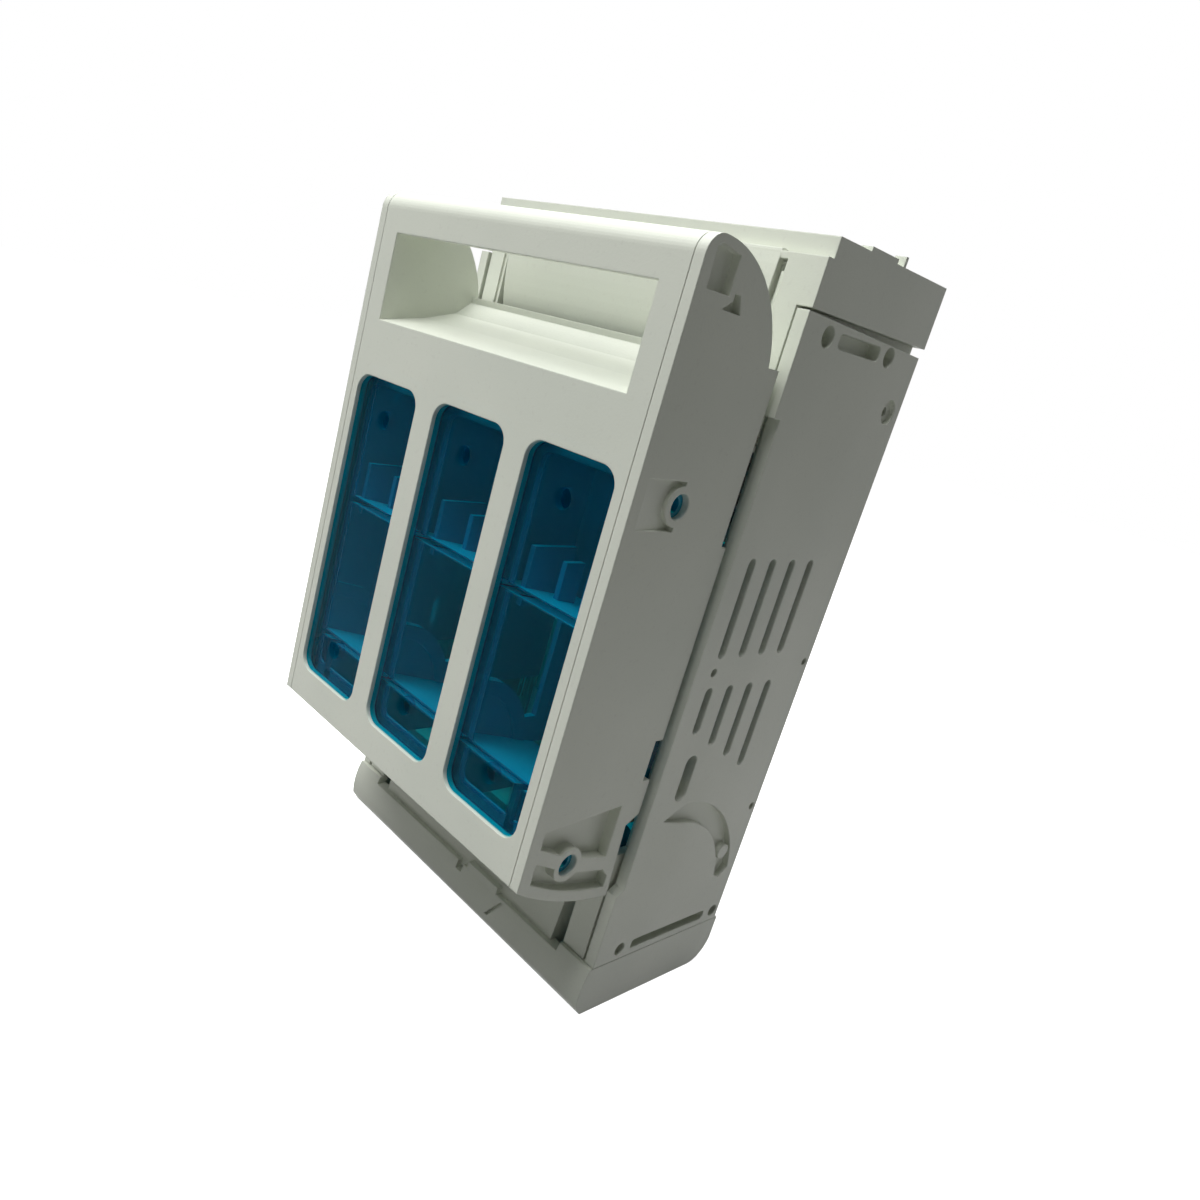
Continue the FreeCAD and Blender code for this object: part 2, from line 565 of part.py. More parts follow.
def upright_slot(centre, low, high, width):
    """Outline of an upright slot with round ends."""
    half = f"({width}) / 2"
    return [
        (f"{centre} - {half}", f"{low} + {half}"),
        (centre, low, half),
        (f"{centre} + {half}", f"{low} + {half}", half),
        (f"{centre} + {half}", f"{high} - {half}"),
        (centre, high, half),
        (f"{centre} - {half}", f"{high} - {half}", half),
    ]


PLANES = {
    "x": FreeCAD.Rotation(FreeCAD.Vector(1, 1, 1), 120),
    "y": FreeCAD.Rotation(FreeCAD.Vector(1, 0, 0), 90),
    "z": FreeCAD.Rotation(),
}
WAYS = {
    "x": FreeCAD.Vector(1, 0, 0),
    "y": FreeCAD.Vector(0, 1, 0),
    "z": FreeCAD.Vector(0, 0, 1),
}


def prism(axis, span, *outlines):
    """Solid of closed outlines, drawn across an axis and stretched between two formulas."""
    sketch = doc.addObject("Sketcher::SketchObject", "Profile")
    sketch.Placement = FreeCAD.Placement(FreeCAD.Vector(), PLANES[axis])
    bind(sketch, "Placement.Base." + axis, span[0])
    for points in outlines:
        draw(sketch, points)
    solid = doc.addObject("Part::Extrusion", "Prism")
    solid.Base = sketch
    solid.DirMode = "Custom"
    solid.Dir = WAYS[axis]
    solid.Solid = True
    bind(solid, "LengthFwd", f"({span[1]}) - ({span[0]})")
    return solid


def fuse(*solids):
    whole = doc.addObject("Part::MultiFuse", "Union")
    whole.Shapes = list(solids)
    return whole


def cut(solid, *tools):
    rest = doc.addObject("Part::Cut", "Difference")
    rest.Base = solid
    rest.Tool = tools[0] if len(tools) == 1 else fuse(*tools)
    return rest


def mirror(solid):
    """Mirror image on the other side of the middle plane."""
    image = doc.addObject("Part::Mirroring", "Mirror")
    image.Source = solid
    image.Normal = FreeCAD.Vector(1, 0, 0)
    return image


def finish(label, solid):
    """Name a sub-part and bring it into the frame of the whole object."""
    solid.Label = label
    bind(solid, "Placement.Base.y", "-overall_depth / 2")
    parts.append(solid)
    return solid


def finish_mirror(label, solid):
    """Sub-part that is the mirror image of a finished one."""
    image = mirror(solid)
    image.Label = label
    parts.append(image)


def plane_sketch(body, role, offset):
    """Sketch of a body on one of its origin planes, moved along the plane's normal."""
    sketch = body.newObject("Sketcher::SketchObject", "Sketch")
    plane = [feature for feature in body.Origin.OriginFeatures if feature.Role == role]
    sketch.AttachmentSupport = [(plane[0], "")]
    sketch.MapMode = "FlatFace"
    bind(sketch, "AttachmentOffset.Base.z", offset)
    return sketch


def side_feature(body, kind, offset, length, outlines, circles):
    """Pad or pocket drawn on a plane across X."""
    sketch = plane_sketch(body, "YZ_Plane", offset)
    for points in outlines:
        draw(sketch, points)
    for centre, radius in circles:
        ring(sketch, centre, radius)
    feature = body.newObject("PartDesign::" + kind, kind)
    feature.Profile = sketch
    bind(feature, "Length", length)
    doc.recompute()


def pad(body, low, high, outlines=(), circles=()):
    """Add material to a body between two places along X."""
    side_feature(body, "Pad", low, f"({high}) - ({low})", outlines, circles)


def pocket(body, high, low, outlines=(), circles=()):
    """Take material out of a body from one place along X down to another."""
    before = body.Shape.Volume
    side_feature(body, "Pocket", high, f"({high}) - ({low})", outlines, circles)
    if body.Shape.Volume >= before:
        raise RuntimeError("a pocket of %s cut nothing" % body.Label)


def belly(depth, inset):
    """Height of the lid's underside at a depth, inside its surface by an inset."""
    return f"(belly_z - sqrt((belly_radius - ({inset})) ^ 2 - ({depth} - belly_y) ^ 2))"


def crown(depth, inset):
    """Height of the lid's upper rear arc at a depth, inside its surface by an inset."""
    return f"(back_centre + sqrt((back_radius - ({inset})) ^ 2 - ({depth} - nose_radius) ^ 2))"


def crown_shell(thickness, inner_end, outer_end):
    """Outline of a shell from the lid's front face, round the top bar and down the rear arc."""
    return [
        ("0", "grip_top"),
        (thickness, "grip_top"),
        (thickness, "lid_crease"),
        ("nose_radius", f"lid_top - {thickness}", f"-(nose_radius - {thickness})"),
        inner_end + (f"-(back_radius - {thickness})",),
        outer_end,
        ("nose_radius", "lid_top", "back_radius"),
        ("0", "lid_crease", "nose_radius"),
    ]


def make_lid_cheek():
    """Right side plate of the lid: outline, recesses, peg rings and holes."""
    body = doc.addObject("PartDesign::Body", "Body")
    body.Label = "lid_cheek_right"
    outline = [
        ("0", "lid_bottom", "-belly_radius"),
        ("0", "lid_crease"),
        ("nose_radius", "lid_top", "-nose_radius"),
        ("back_end", "lid_step", "-back_radius"),
        ("lid_rear", "lid_step"),
        ("lid_rear", "cheek_shoulder"),
        ("cheek_rear", "cheek_shoulder"),
        ("cheek_rear", "catch_top"),
        ("cheek_rear - catch_depth", "catch_top"),
        ("cheek_rear - catch_depth", "catch_bottom"),
        ("cheek_rear", "catch_bottom"),
        ("cheek_rear", "cheek_heel"),
        ("cheek_rear - cheek_tuck", "cheek_heel - cheek_tuck_drop"),
        ("cheek_foot", "cheek_foot_height"),
    ]
    pad(body, "cheek_inner", "cheek_outer", [outline])
    pad(body, "pocket_inner", "cheek_inner + cheek_thick / 2", [recess_outline("0 - pocket_floor")])
    pocket(body, "cheek_outer", "cheek_outer - pocket_depth", [recess_outline("0")])
    for far_depth, far_height in (("pocket_front", "front_spoke"), ("pocket_rear", "rear_spoke")):
        spoke = [
            (far_depth, f"{far_height} - spoke_width / 2"),
            ("peg_low_depth", "peg_low - spoke_width / 2"),
            ("peg_low_depth", "peg_low + spoke_width / 2"),
            (far_depth, f"{far_height} + spoke_width / 2"),
        ]
        pad(body, "pocket_inner + pocket_floor / 2", "cheek_outer", [spoke])
    ramp = plane_sketch(body, "XY_Plane", "peg_high - ramp_height / 2")
    wedge = [
        ("cheek_outer", "ramp_front"),
        ("cheek_outer + ramp_depth", "ramp_front"),
        ("cheek_outer + ramp_depth", "peg_high_depth"),
        ("cheek_outer - ramp_depth", "peg_high_depth"),
    ]
    draw(ramp, wedge)
    feature = body.newObject("PartDesign::Pocket", "Ramp")
    feature.Profile = ramp
    feature.Reversed = True
    bind(feature, "Length", "ramp_height")
    doc.recompute()
    pegs = [("peg_low_depth", "peg_low"), ("peg_high_depth", "peg_high")]
    rim = "peg_radius + peg_play + ring_wall"
    pad(body, "pocket_inner + pocket_floor / 2", "cheek_outer", circles=[(pegs[0], rim)])
    pad(body, "cheek_inner", "cheek_outer", circles=[(pegs[1], rim)])
    bores = [(peg, "peg_radius + peg_play") for peg in pegs]
    pocket(body, "cheek_outer", "pocket_inner - pocket_floor", circles=bores)
    bar_hole = [
        ("bar_hole_front", "bar_hole_bottom"),
        ("bar_hole_rear", "bar_hole_bottom"),
        ("bar_hole_rear", "bar_hole_top"),
        ("nose_radius", "lid_top - bar_hole_wall"),
        ("bar_hole_front - seat", "bar_hole_top"),
    ]
    hook_hole = [
        ("hook_front", "hook_bottom + seat"),
        ("hook_rear", "hook_bottom"),
        ("hook_tip", "hook_top"),
        ("hook_neck", "hook_top"),
        ("hook_neck", "hook_shoulder"),
    ]
    pocket(body, "cheek_outer", "cheek_outer - hole_depth", [bar_hole, hook_hole])
    return body


def recess_outline(inset):
    """Outline of the lower recess in a cheek, made smaller by an inset."""
    front = f"pocket_front + {inset}"
    rear = f"pocket_rear - ({inset})"
    heel = f"pocket_heel - ({inset})"
    margin = f"pocket_margin + {inset}"
    return [
        (front, belly(f"({front})", margin), f"-(belly_radius - ({margin}))"),
        (front, f"pocket_top - ({inset})"),
        (rear, f"pocket_top + pocket_top_rise - ({inset})"),
        (rear, "pocket_heel_top"),
        (heel, "pocket_heel_top - pocket_margin"),
        (heel, belly(f"({heel})", margin)),
    ]


def make_lid_frame():
    """Front of the lid with its windows, the grip bar, the grip's floor and the underside."""
    plate = box(("-frame_side", "frame_side"), ("0", "lid_wall"), ("lid_bottom", "grip_bottom"))
    windows = []
    for centre in POLES:
        low = (f"{centre} - window_width / 2", "window_bottom")
        high = (f"{centre} + window_width / 2", "window_top")
        windows.append(rounded(low, high, "window_corner"))
    plate = cut(plate, prism("y", ("-lid_wall", "2 * lid_wall"), *windows))
    bar_ends = [("bar_depth", crown("bar_depth", inset)) for inset in ("lid_wall", "0")]
    bar = prism("x", ("-frame_side", "frame_side"), crown_shell("lid_wall", *bar_ends))
    side = ("grip_side", "frame_side")
    post = box(side, ("0", "lid_wall"), ("grip_bottom", "lid_crease"))
    corner_ends = (("inner_back_end", "lid_step"), ("back_end", "lid_step"))
    corner = prism("x", side, crown_shell("skin", *corner_ends))
    scoop = [
        ("0", "grip_bottom"),
        ("scoop_run_front", "grip_bottom + scoop_rise_front"),
        ("scoop_run_rear", "grip_bottom + scoop_rise_rear"),
        ("back_end", "lid_step"),
    ]
    wall = prism("x", ("grip_side", "grip_side + skin"), scoop + [
        ("nose_radius", "lid_top", "back_radius"),
        ("0", "lid_crease", "nose_radius"),
    ])
    under = [(depth, f"{height} - skin") for depth, height in reversed(scoop)]
    floor_side = "grip_side + skin"
    floor = prism("x", (f"-({floor_side})", floor_side), scoop + under)
    ledge = prism("x", ("-frame_side", "frame_side"), [
        ("back_end - skin", "lid_step - skin"),
        ("lid_rear - skin", "lid_step - skin"),
        ("lid_rear - skin", "skirt_bottom"),
        ("lid_rear", "skirt_bottom"),
        ("lid_rear", "lid_step"),
        ("back_end - skin", "lid_step"),
    ])
    low_side = "pocket_inner - seam"
    low_rear = "cheek_foot - seam"
    low = prism("x", (f"-({low_side})", low_side), [
        ("0", "lid_bottom"),
        (low_rear, belly(low_rear, "0"), "belly_radius"),
        (low_rear, belly(low_rear, "skin")),
        ("lid_wall", belly("lid_wall", "skin"), "-(belly_radius - skin)"),
        ("0", "lid_bottom + skin"),
    ])
    ends = fuse(post, corner, wall)
    return fuse(plate, bar, ends, mirror(ends), floor, ledge, low)


def bay_wall_outline():
    """Side view of the carrier's walls: two wide ends in front and the bay walls behind."""
    return [
        ("carrier_front", "carrier_bottom"),
        ("head_rear", "carrier_bottom"),
        ("head_rear", "bay_bottom"),
        ("carrier_rear", "bay_bottom"),
        ("carrier_rear", "bay_top"),
        ("head_rear", "bay_top"),
        ("head_rear", "carrier_top"),
        ("carrier_front", "carrier_top"),
    ]


def gusset(inset):
    """Outline of the solid lower corner of a bay wall, made smaller by an inset."""
    rear = f"gap_rear - ({inset})"
    top = f"gap_bottom - ({inset})"
    radius = f"(gusset_radius - ({inset}))"
    return [
        ("carrier_back", "bay_bottom"),
        (rear, "bay_bottom"),
        (f"{rear} - 0.1 * {radius}", f"{top} - 0.6 * {radius}"),
        (f"{rear} - 0.6 * {radius}", f"{top} - 0.1 * {radius}", radius),
        ("carrier_back", top),
    ]


def make_fuse_carrier():
    """Translucent carrier: panes, bay walls, shelves, fuse hooks, pegs, pivot arms and pins."""
    width = ("-carrier_side", "carrier_side")
    plate = box(width, ("carrier_front", "carrier_back"), ("carrier_bottom", "carrier_top"))
    panes = []
    hollows = []
    holes = []
    hooks = []
    for centre in POLES:
        low = (f"{centre} - window_width / 2 + pane_gap", "window_bottom + pane_gap")
        high = (f"{centre} + window_width / 2 - pane_gap", "window_top - pane_gap")
        panes.append(rounded(low, high, "(window_corner - pane_gap)"))
        low = (f"{low[0]} + pane_thick", f"{low[1]} + pane_thick")
        high = (f"{high[0]} - pane_thick", f"{high[1]} - pane_thick")
        hollows.append(rounded(low, high, "(window_corner - pane_gap - pane_thick)"))
        for height in ("test_hole_high", "test_hole_low"):
            holes.append(rod("y", (centre, height), "test_hole_radius", ("0", "carrier_back")))
        for side in ("-", "+"):
            outer = f"{centre} {side} hook_spread"
            inner = f"{centre} {side} hook_inner_spread"
            foot = "high_shelf - high_shelf_fall - shelf_thick / 2"
            hooks.append(box(
                (f"{outer} - hook_thick / 2", f"{outer} + hook_thick / 2"),
                ("hook_start", "hook_reach"),
                (foot, "high_shelf + hook_rise"),
            ))
            hooks.append(box(
                (f"{inner} - hook_thick / 2", f"{inner} + hook_thick / 2"),
                ("hook_inner_start", "hook_inner_reach"),
                (foot, "high_shelf + hook_inner_rise"),
            ))
    front = fuse(plate, prism("y", ("pane_face", "carrier_back"), *panes))
    depth = ("pane_face + pane_thick", "carrier_back + pane_thick")
    front = cut(front, prism("y", depth, *hollows), *holes)
    outer = prism("x", ("carrier_side - carrier_wall", "carrier_side"), bay_wall_outline())
    half = "partition_thick / 2"
    inner = prism("x", (f"partition - {half}", f"partition + {half}"), bay_wall_outline())
    raised = f"({half} + gusset_height)"
    inner_edge = prism("x", (f"partition - {raised}", f"partition + {raised}"), gusset("0"))
    outer_edge = prism("x", ("carrier_side - carrier_wall - gusset_height", "carrier_side"), gusset("0"))
    sunk_left = prism("x", ("0", f"partition - {half}"), gusset("gusset_width"))
    sunk_right = prism("x", (f"partition + {half}", "carrier_side - carrier_wall"), gusset("gusset_width"))
    edge = cut(fuse(inner_edge, outer_edge), sunk_left, sunk_right)
    opening = prism("x", (f"partition - 2 * {half}", f"partition + 2 * {half}"), [
        ("carrier_back", "gap_bottom"),
        ("gap_rear - 0.6 * gusset_radius", "gap_bottom - 0.1 * gusset_radius"),
        ("gap_rear - 0.1 * gusset_radius", "gap_bottom - 0.6 * gusset_radius", "-gusset_radius"),
        ("gap_rear + 0.1 * gusset_radius", "gap_bottom - 0.6 * gusset_radius"),
        ("gap_rear + 0.1 * gusset_radius", "gap_top"),
        ("carrier_back", "gap_top"),
    ])
    walls = fuse(outer, cut(inner, opening), edge)
    lower = prism("x", width, [
        ("carrier_front", "low_shelf - shelf_thick"),
        ("low_shelf_rear", "low_shelf - low_shelf_fall - shelf_thick"),
        ("low_shelf_rear", "low_shelf - low_shelf_fall"),
        ("carrier_front", "low_shelf"),
    ])
    upper = prism("x", width, [
        ("carrier_front", "high_shelf - shelf_thick"),
        ("head_rear", "high_shelf - high_shelf_fall - shelf_thick"),
        ("head_rear", "high_shelf - high_shelf_fall"),
        ("carrier_front", "high_shelf"),
    ])
    back_foot = "high_shelf - high_shelf_fall - shelf_thick"
    back = box(width, ("head_rear - shelf_thick", "head_rear"), (back_foot, "carrier_top"))
    top = box(width, ("carrier_front", "head_rear"), ("carrier_top - shelf_thick", "carrier_top"))
    reach = ("carrier_side - carrier_wall", "cheek_outer - peg_sink")
    bore_reach = ("cheek_outer - peg_sink - peg_bore_depth", "cheek_outer")
    pegs = []
    bores = []
    for spot in (("peg_high_depth", "peg_high"), ("peg_low_depth", "peg_low")):
        pegs.append(rod("x", spot, "peg_radius", reach))
        bores.append(rod("x", spot, "peg_bore", bore_reach))
    pegs = cut(fuse(*pegs), *bores)
    arm = prism("x", ("arm_outer - arm_thick", "arm_outer"), [
        ("pivot_depth - arm_hub", "pivot_height", "-arm_hub"),
        ("pivot_depth - arm_hub", "arm_bend"),
        ("arm_elbow", "arm_elbow_height"),
        ("carrier_front", "carrier_bottom + shelf_thick"),
        ("carrier_front", "low_shelf - shelf_thick / 2"),
        ("low_shelf_rear", "bay_bottom"),
        ("pivot_depth", "low_fingers - swing_gap"),
        ("pivot_depth + arm_hub", "low_fingers - swing_gap"),
        ("pivot_depth + arm_hub", "pivot_height"),
        ("pivot_depth", "pivot_height - arm_hub", "-arm_hub"),
    ])
    pin_reach = ("arm_outer - arm_thick", "flange_inner + bracket_thick")
    pin = rod("x", ("pivot_depth", "pivot_height"), "pivot_radius", pin_reach)
    side = fuse(walls, pegs, arm, pin)
    return fuse(front, side, mirror(side), lower, upper, back, top, *hooks)


def make_housing():
    """Base moulding: back plate, side walls, front faces, bearing walls, barriers and rests."""
    back = box(
        ("-panel_inner", "panel_inner"),
        ("back_inner", "overall_depth"),
        ("housing_bottom", "housing_top"),
    )
    wall = prism("x", ("housing_inner", "panel_inner"), [
        ("step_front", "housing_bottom"),
        ("overall_depth", "housing_bottom"),
        ("overall_depth", "housing_top"),
        ("step_front", "housing_top"),
    ])
    row = "(vent_count - 1)"
    air = box(
        ("housing_inner - side_wall", "panel_inner + side_wall"),
        (
            "vent_first - vent_width / 2 - air_margin",
            f"vent_first + {row} * vent_pitch + vent_width / 2 + air_margin",
        ),
        (f"low_vent_bottom - {row} * low_vent_step - air_margin", "vent_top + air_margin"),
    )
    depth = ("base_front", "front_rear")
    flange_up = ("panel_bottom", "flange_top")
    flange = box(("flange_inner", "face_outer"), depth, flange_up)
    cheek = box(("housing_inner", "face_outer"), ("base_front", "step_front + housing_lip"), flange_up)
    bracket = box(
        ("flange_inner", "flange_inner + bracket_thick"),
        ("base_front", "back_inner"),
        ("panel_bottom", "bracket_top"),
    )
    bore = rod(
        "x",
        ("pivot_depth", "pivot_height"),
        "pivot_radius + pivot_play",
        ("flange_inner - bracket_thick", "flange_inner + 2 * bracket_thick"),
    )
    barrier = prism("x", ("barrier_inner", "barrier_outer"), [
        ("barrier_front", "panel_bottom"),
        ("back_inner", "panel_bottom"),
        ("back_inner", "chamber_top"),
        ("chamber_front", "chamber_top"),
        ("chamber_front", "chamber_bottom"),
        ("barrier_front", "chamber_bottom"),
    ])
    side = fuse(cut(wall, air), flange, cheek, cut(bracket, bore), barrier)
    rests = []
    holes = []
    for centre in POLES:
        across = (f"{centre} - rest_width / 2", f"{centre} + rest_width / 2")
        for height in ("high_jaw", "low_jaw", "high_bolt", "low_bolt"):
            up = (f"{height} - rest_height / 2", f"{height} + rest_height / 2")
            rests.append(box(across, ("rest_front", "back_inner"), up))
        for height in ("high_bolt", "low_bolt"):
            spot = (centre, height)
            sink = ("bar_front", "rest_front + nut_height")
            holes.append(hexagon("y", spot, "bolt_flats + 2 * seat", sink))
            holes.append(rod("y", spot, "bolt_radius + bolt_play", ("bar_front", "back_inner")))
    through = ("bar_front", "overall_depth + back_thick")
    for across in (POLES[0], POLES[-1]):
        for up in ("fuse_centre - mount_spacing / 2", "fuse_centre + mount_spacing / 2"):
            holes.append(rod("y", (across, up), "mount_hole_radius", through))
    return cut(fuse(back, side, mirror(side), *rests), *holes)


def around_pivot(radius, angle):
    """Point at a distance and an angle round the lid's pivot."""
    return (
        f"pivot_depth + ({radius}) * cos({angle})",
        f"pivot_height + ({radius}) * sin({angle})",
    )


def make_side_panel():
    """Right side panel: stepped outline, ventilation slots, holes and the curved channel."""
    body = doc.addObject("PartDesign::Body", "Body")
    body.Label = "side_panel_right"
    rear = "overall_depth - panel_rear_gap"
    long_edge = "panel_front + panel_setback"
    outline = [
        ("panel_front", "panel_bottom"),
        (rear, "panel_bottom"),
        (rear, "panel_top - panel_top_fall"),
        ("panel_front", "panel_top"),
        ("panel_front", "panel_high_step"),
        (long_edge, "panel_high_step"),
        (long_edge, "panel_low_step + panel_chamfer"),
        ("panel_front", "panel_low_step"),
    ]
    outer = "base_width / 2"
    below = "panel_inner - panel_thick"
    pad(body, "panel_inner", outer, [outline])
    slots = []
    for index in range(COUNTS["vent_count"]):
        centre = f"vent_first + {index} * vent_pitch"
        low = f"low_vent_bottom - {index} * low_vent_step"
        slots.append(upright_slot(centre, "vent_bottom", "vent_top", "vent_width"))
        slots.append(upright_slot(centre, low, "low_vent_top", "vent_width"))
    oblong = "oblong_front + oblong_width / 2"
    slots.append(upright_slot(oblong, "oblong_bottom", "oblong_top", "oblong_width"))
    for place, start, end, width in (
        ("head_row", "head_slot_front", "head_slot_rear", "head_slot_width"),
        ("foot_row", "foot_slot_front", "foot_slot_rear", "foot_slot_width"),
    ):
        low = (start, f"{place} - {width} / 2")
        high = (end, f"{place} + {width} / 2")
        slots.append(rounded(low, high, f"({width} / 3)"))
    pocket(body, outer, below, slots)
    holes = [
        (("head_hole_front", "head_row"), "head_hole_radius"),
        (("head_hole_rear", "head_row"), "head_hole_radius"),
        (("foot_hole_front", "foot_row"), "foot_hole_radius"),
        (("foot_hole_rear", "foot_row"), "foot_hole_radius"),
        (("pin_hole_front", "pin_hole_high"), "pin_hole_radius"),
        (("pin_hole_rear", "pin_hole_high"), "pin_hole_radius"),
        (("pin_hole_rear", "pin_hole_low"), "pin_hole_radius"),
        (("dimple_rear", "dimple_height"), "pin_hole_radius"),
    ]
    pocket(body, outer, below, circles=holes)
    dimple = [(("dimple_rear", "dimple_height"), "dimple_radius")]
    pocket(body, outer, f"{outer} - dimple_depth", circles=dimple)
    far = "channel_radius + channel_width / 2"
    near = "channel_radius - channel_width / 2"
    low_end = around_pivot("channel_radius", "channel_low_angle")
    mouth = around_pivot("channel_radius", "channel_high_angle")
    channel = [
        around_pivot(near, "channel_low_angle") + (f"-({near})",),
        (f"{low_end[0]} + 0.1", f"{low_end[1]} - channel_width / 3"),
        around_pivot(far, "channel_low_angle"),
        around_pivot(far, "channel_high_angle") + (far,),
        (f"{mouth[0]} - channel_mouth", f"{mouth[1]} - channel_width / 6"),
        around_pivot(near, "channel_high_angle"),
    ]
    floor = f"{outer} - channel_depth"
    pocket(body, outer, floor, [channel])
    stop = around_pivot("channel_radius", "stop_angle")
    pad(body, f"{outer} - panel_thick / 2 - channel_depth / 2", outer, circles=[(stop, "stop_radius")])
    return body


def make_jaw(centre, jaw, bolt, low, high):
    """Contact jaw: two sprung fingers on a terminal bar with its bolt hole."""
    across = (f"{centre} - bar_width / 2", f"{centre} + bar_width / 2")
    bar = box(across, ("bar_front", "rest_front"), (low, high))
    fingers = []
    for side in ("+", "-"):
        inner = f"{centre} {side} blade_slot / 2"
        outer = f"{centre} {side} jaw_half"
        fingers.append(prism("z", (f"{jaw} - finger_height / 2", f"{jaw} + finger_height / 2"), [
            (inner, "rest_front"),
            (inner, "jaw_front + flare_length"),
            (f"{inner} {side} finger_flare", "jaw_front"),
            (f"{outer} {side} finger_flare", "jaw_front"),
            (outer, "jaw_front + flare_length"),
            (outer, "rest_front"),
        ]))
    hole = rod("y", (centre, bolt), "bolt_radius + bolt_play", ("washer_front", "back_inner"))
    return cut(fuse(bar, *fingers), hole)


def make_spring(centre, web, way):
    """Steel clip bent over a jaw's fingers, with its web on their upper or lower edges."""
    outer = f"{web} {way} spring_thick"
    tip = f"{web} {way} spring_thick {'-' if way == '+' else '+'} spring_leg"
    bend = f"{outer} {'-' if way == '+' else '+'} spring_corner"
    radius = "spring_corner" if way == "-" else "-spring_corner"
    left = f"{centre} - jaw_half"
    right = f"{centre} + jaw_half"
    return prism("y", ("spring_front", "spring_front + spring_depth"), [
        (left, tip),
        (f"{left} - spring_thick", tip),
        (f"{left} - spring_thick", bend),
        (f"{left} - spring_thick + spring_corner", outer, radius),
        (f"{right} + spring_thick - spring_corner", outer),
        (f"{right} + spring_thick", bend, radius),
        (f"{right} + spring_thick", tip),
        (right, tip),
        (right, web),
        (left, web),
    ])


def make_arc_plates(low, high, centre):
    """Stack of notched steel plates across one arc chamber."""
    plates = []
    for index in range(COUNTS["plate_count"]):
        foot = f"plate_first + {index} * plate_pitch"
        plates.append(prism("z", (foot, f"{foot} + plate_thick"), [
            (low, "plate_front"),
            (f"{centre} - plate_notch / 2", "plate_front"),
            (centre, "plate_front + plate_notch"),
            (f"{centre} + plate_notch / 2", "plate_front"),
            (high, "plate_front"),
            (high, "plate_rear"),
            (low, "plate_rear"),
        ]))
    return fuse(*plates)


def make_bolts(height):
    """The three terminal bolts at one end."""
    bolts = []
    for centre in POLES:
        spot = (centre, height)
        head = hexagon("y", spot, "bolt_flats", ("washer_front - bolt_head", "washer_front"))
        tip = "rest_front + nut_height - seat"
        shank = rod("y", spot, "bolt_radius", ("washer_front - bolt_head / 2", tip))
        bolts.append(fuse(head, shank))
    return fuse(*bolts)


def make_washers(height):
    """The three terminal washers at one end."""
    discs = []
    for centre in POLES:
        span = ("washer_front", "bar_front")
        disc = rod("y", (centre, height), "washer_radius", span)
        discs.append(cut(disc, rod("y", (centre, height), "bolt_radius + bolt_play", span)))
    return fuse(*discs)


def make_nuts(height):
    """The three captive nuts at one end."""
    nuts = []
    for centre in POLES:
        span = ("rest_front", "rest_front + nut_height")
        nut = hexagon("y", (centre, height), "bolt_flats", span)
        nuts.append(cut(nut, rod("y", (centre, height), "bolt_radius + thread_play", span)))
    return fuse(*nuts)


def entries(span):
    """Blocks where the cables pass a shroud."""
    along = ("entry_front", "entry_front + entry_depth")
    blocks = []
    for centre in POLES:
        across = (f"{centre} - entry_width / 2", f"{centre} + entry_width / 2")
        blocks.append(box(across, along, span))
    return blocks


def make_top_shroud():
    """Cap over the upper terminals with the curved wall that hangs behind the finger grip."""
    full = ("-base_width / 2", "base_width / 2")
    clear = ("-shroud_inner", "shroud_inner")
    stepped = "high_shroud_front + high_shroud_setback"
    shell = prism("x", full, [
        ("high_shroud_front", "high_shroud_bottom"),
        ("overall_depth", "high_shroud_bottom"),
        ("overall_depth", "base_height"),
        (stepped, "base_height"),
        (stepped, "high_shroud_band"),
        ("high_shroud_front", "high_shroud_band"),
    ])
    hollow = prism("x", clear, [
        ("high_shroud_front + shroud_wall", "high_shroud_bottom - shroud_wall"),
        ("overall_depth + shroud_wall", "high_shroud_bottom - shroud_wall"),
        ("overall_depth + shroud_wall", "housing_top"),
        (f"{stepped} + shroud_wall", "housing_top"),
        (f"{stepped} + shroud_wall", "high_shroud_band - shroud_wall"),
        ("high_shroud_front + shroud_wall", "high_shroud_band - shroud_wall"),
    ])
    head = "brow_bottom + apron_thick"
    low = "high_shroud_front + apron_recess"
    window = box(
        ("-pillar_inner", "pillar_inner"),
        ("high_shroud_front - shroud_wall", "high_shroud_front + 2 * shroud_wall"),
        ("high_shroud_bottom - shroud_wall", "brow_bottom"),
    )
    leg = box(
        ("pillar_inner", "face_outer"),
        ("high_shroud_front", "high_shroud_front + front_thick"),
        ("pillar_bottom", "high_shroud_bottom + shroud_wall"),
    )
    rib_front = "high_shroud_front + rib_setback"
    rib = box(
        ("pillar_inner - rib_thick", "pillar_inner"),
        (rib_front, f"{rib_front} + rib_depth"),
        ("pillar_bottom", "base_height - rib_drop"),
    )
    apron = prism("x", ("-apron_side", "apron_side"), [
        ("high_shroud_front + seat", head),
        (low, "apron_bottom", "apron_radius"),
        (f"{low} + apron_thick", "apron_bottom"),
        ("high_shroud_front + seat + apron_thick", head, "-apron_radius"),
    ])
    side = ("shroud_inner", "base_width / 2")
    ledge_up = ("base_height - ledge_height", "base_height + ledge_height")
    ledge = box(side, ("ledge_front", "ledge_rear"), ledge_up)
    fin_up = ("base_height - fin_height", "base_height + fin_height")
    fin = box(side, ("fin_depth", "fin_depth + fin_thick"), fin_up)
    marks = fuse(ledge, fin, leg, rib)
    top = ("housing_top - shroud_wall", "base_height + shroud_wall")
    return fuse(cut(shell, hollow, window, *entries(top)), apron, marks, mirror(marks))


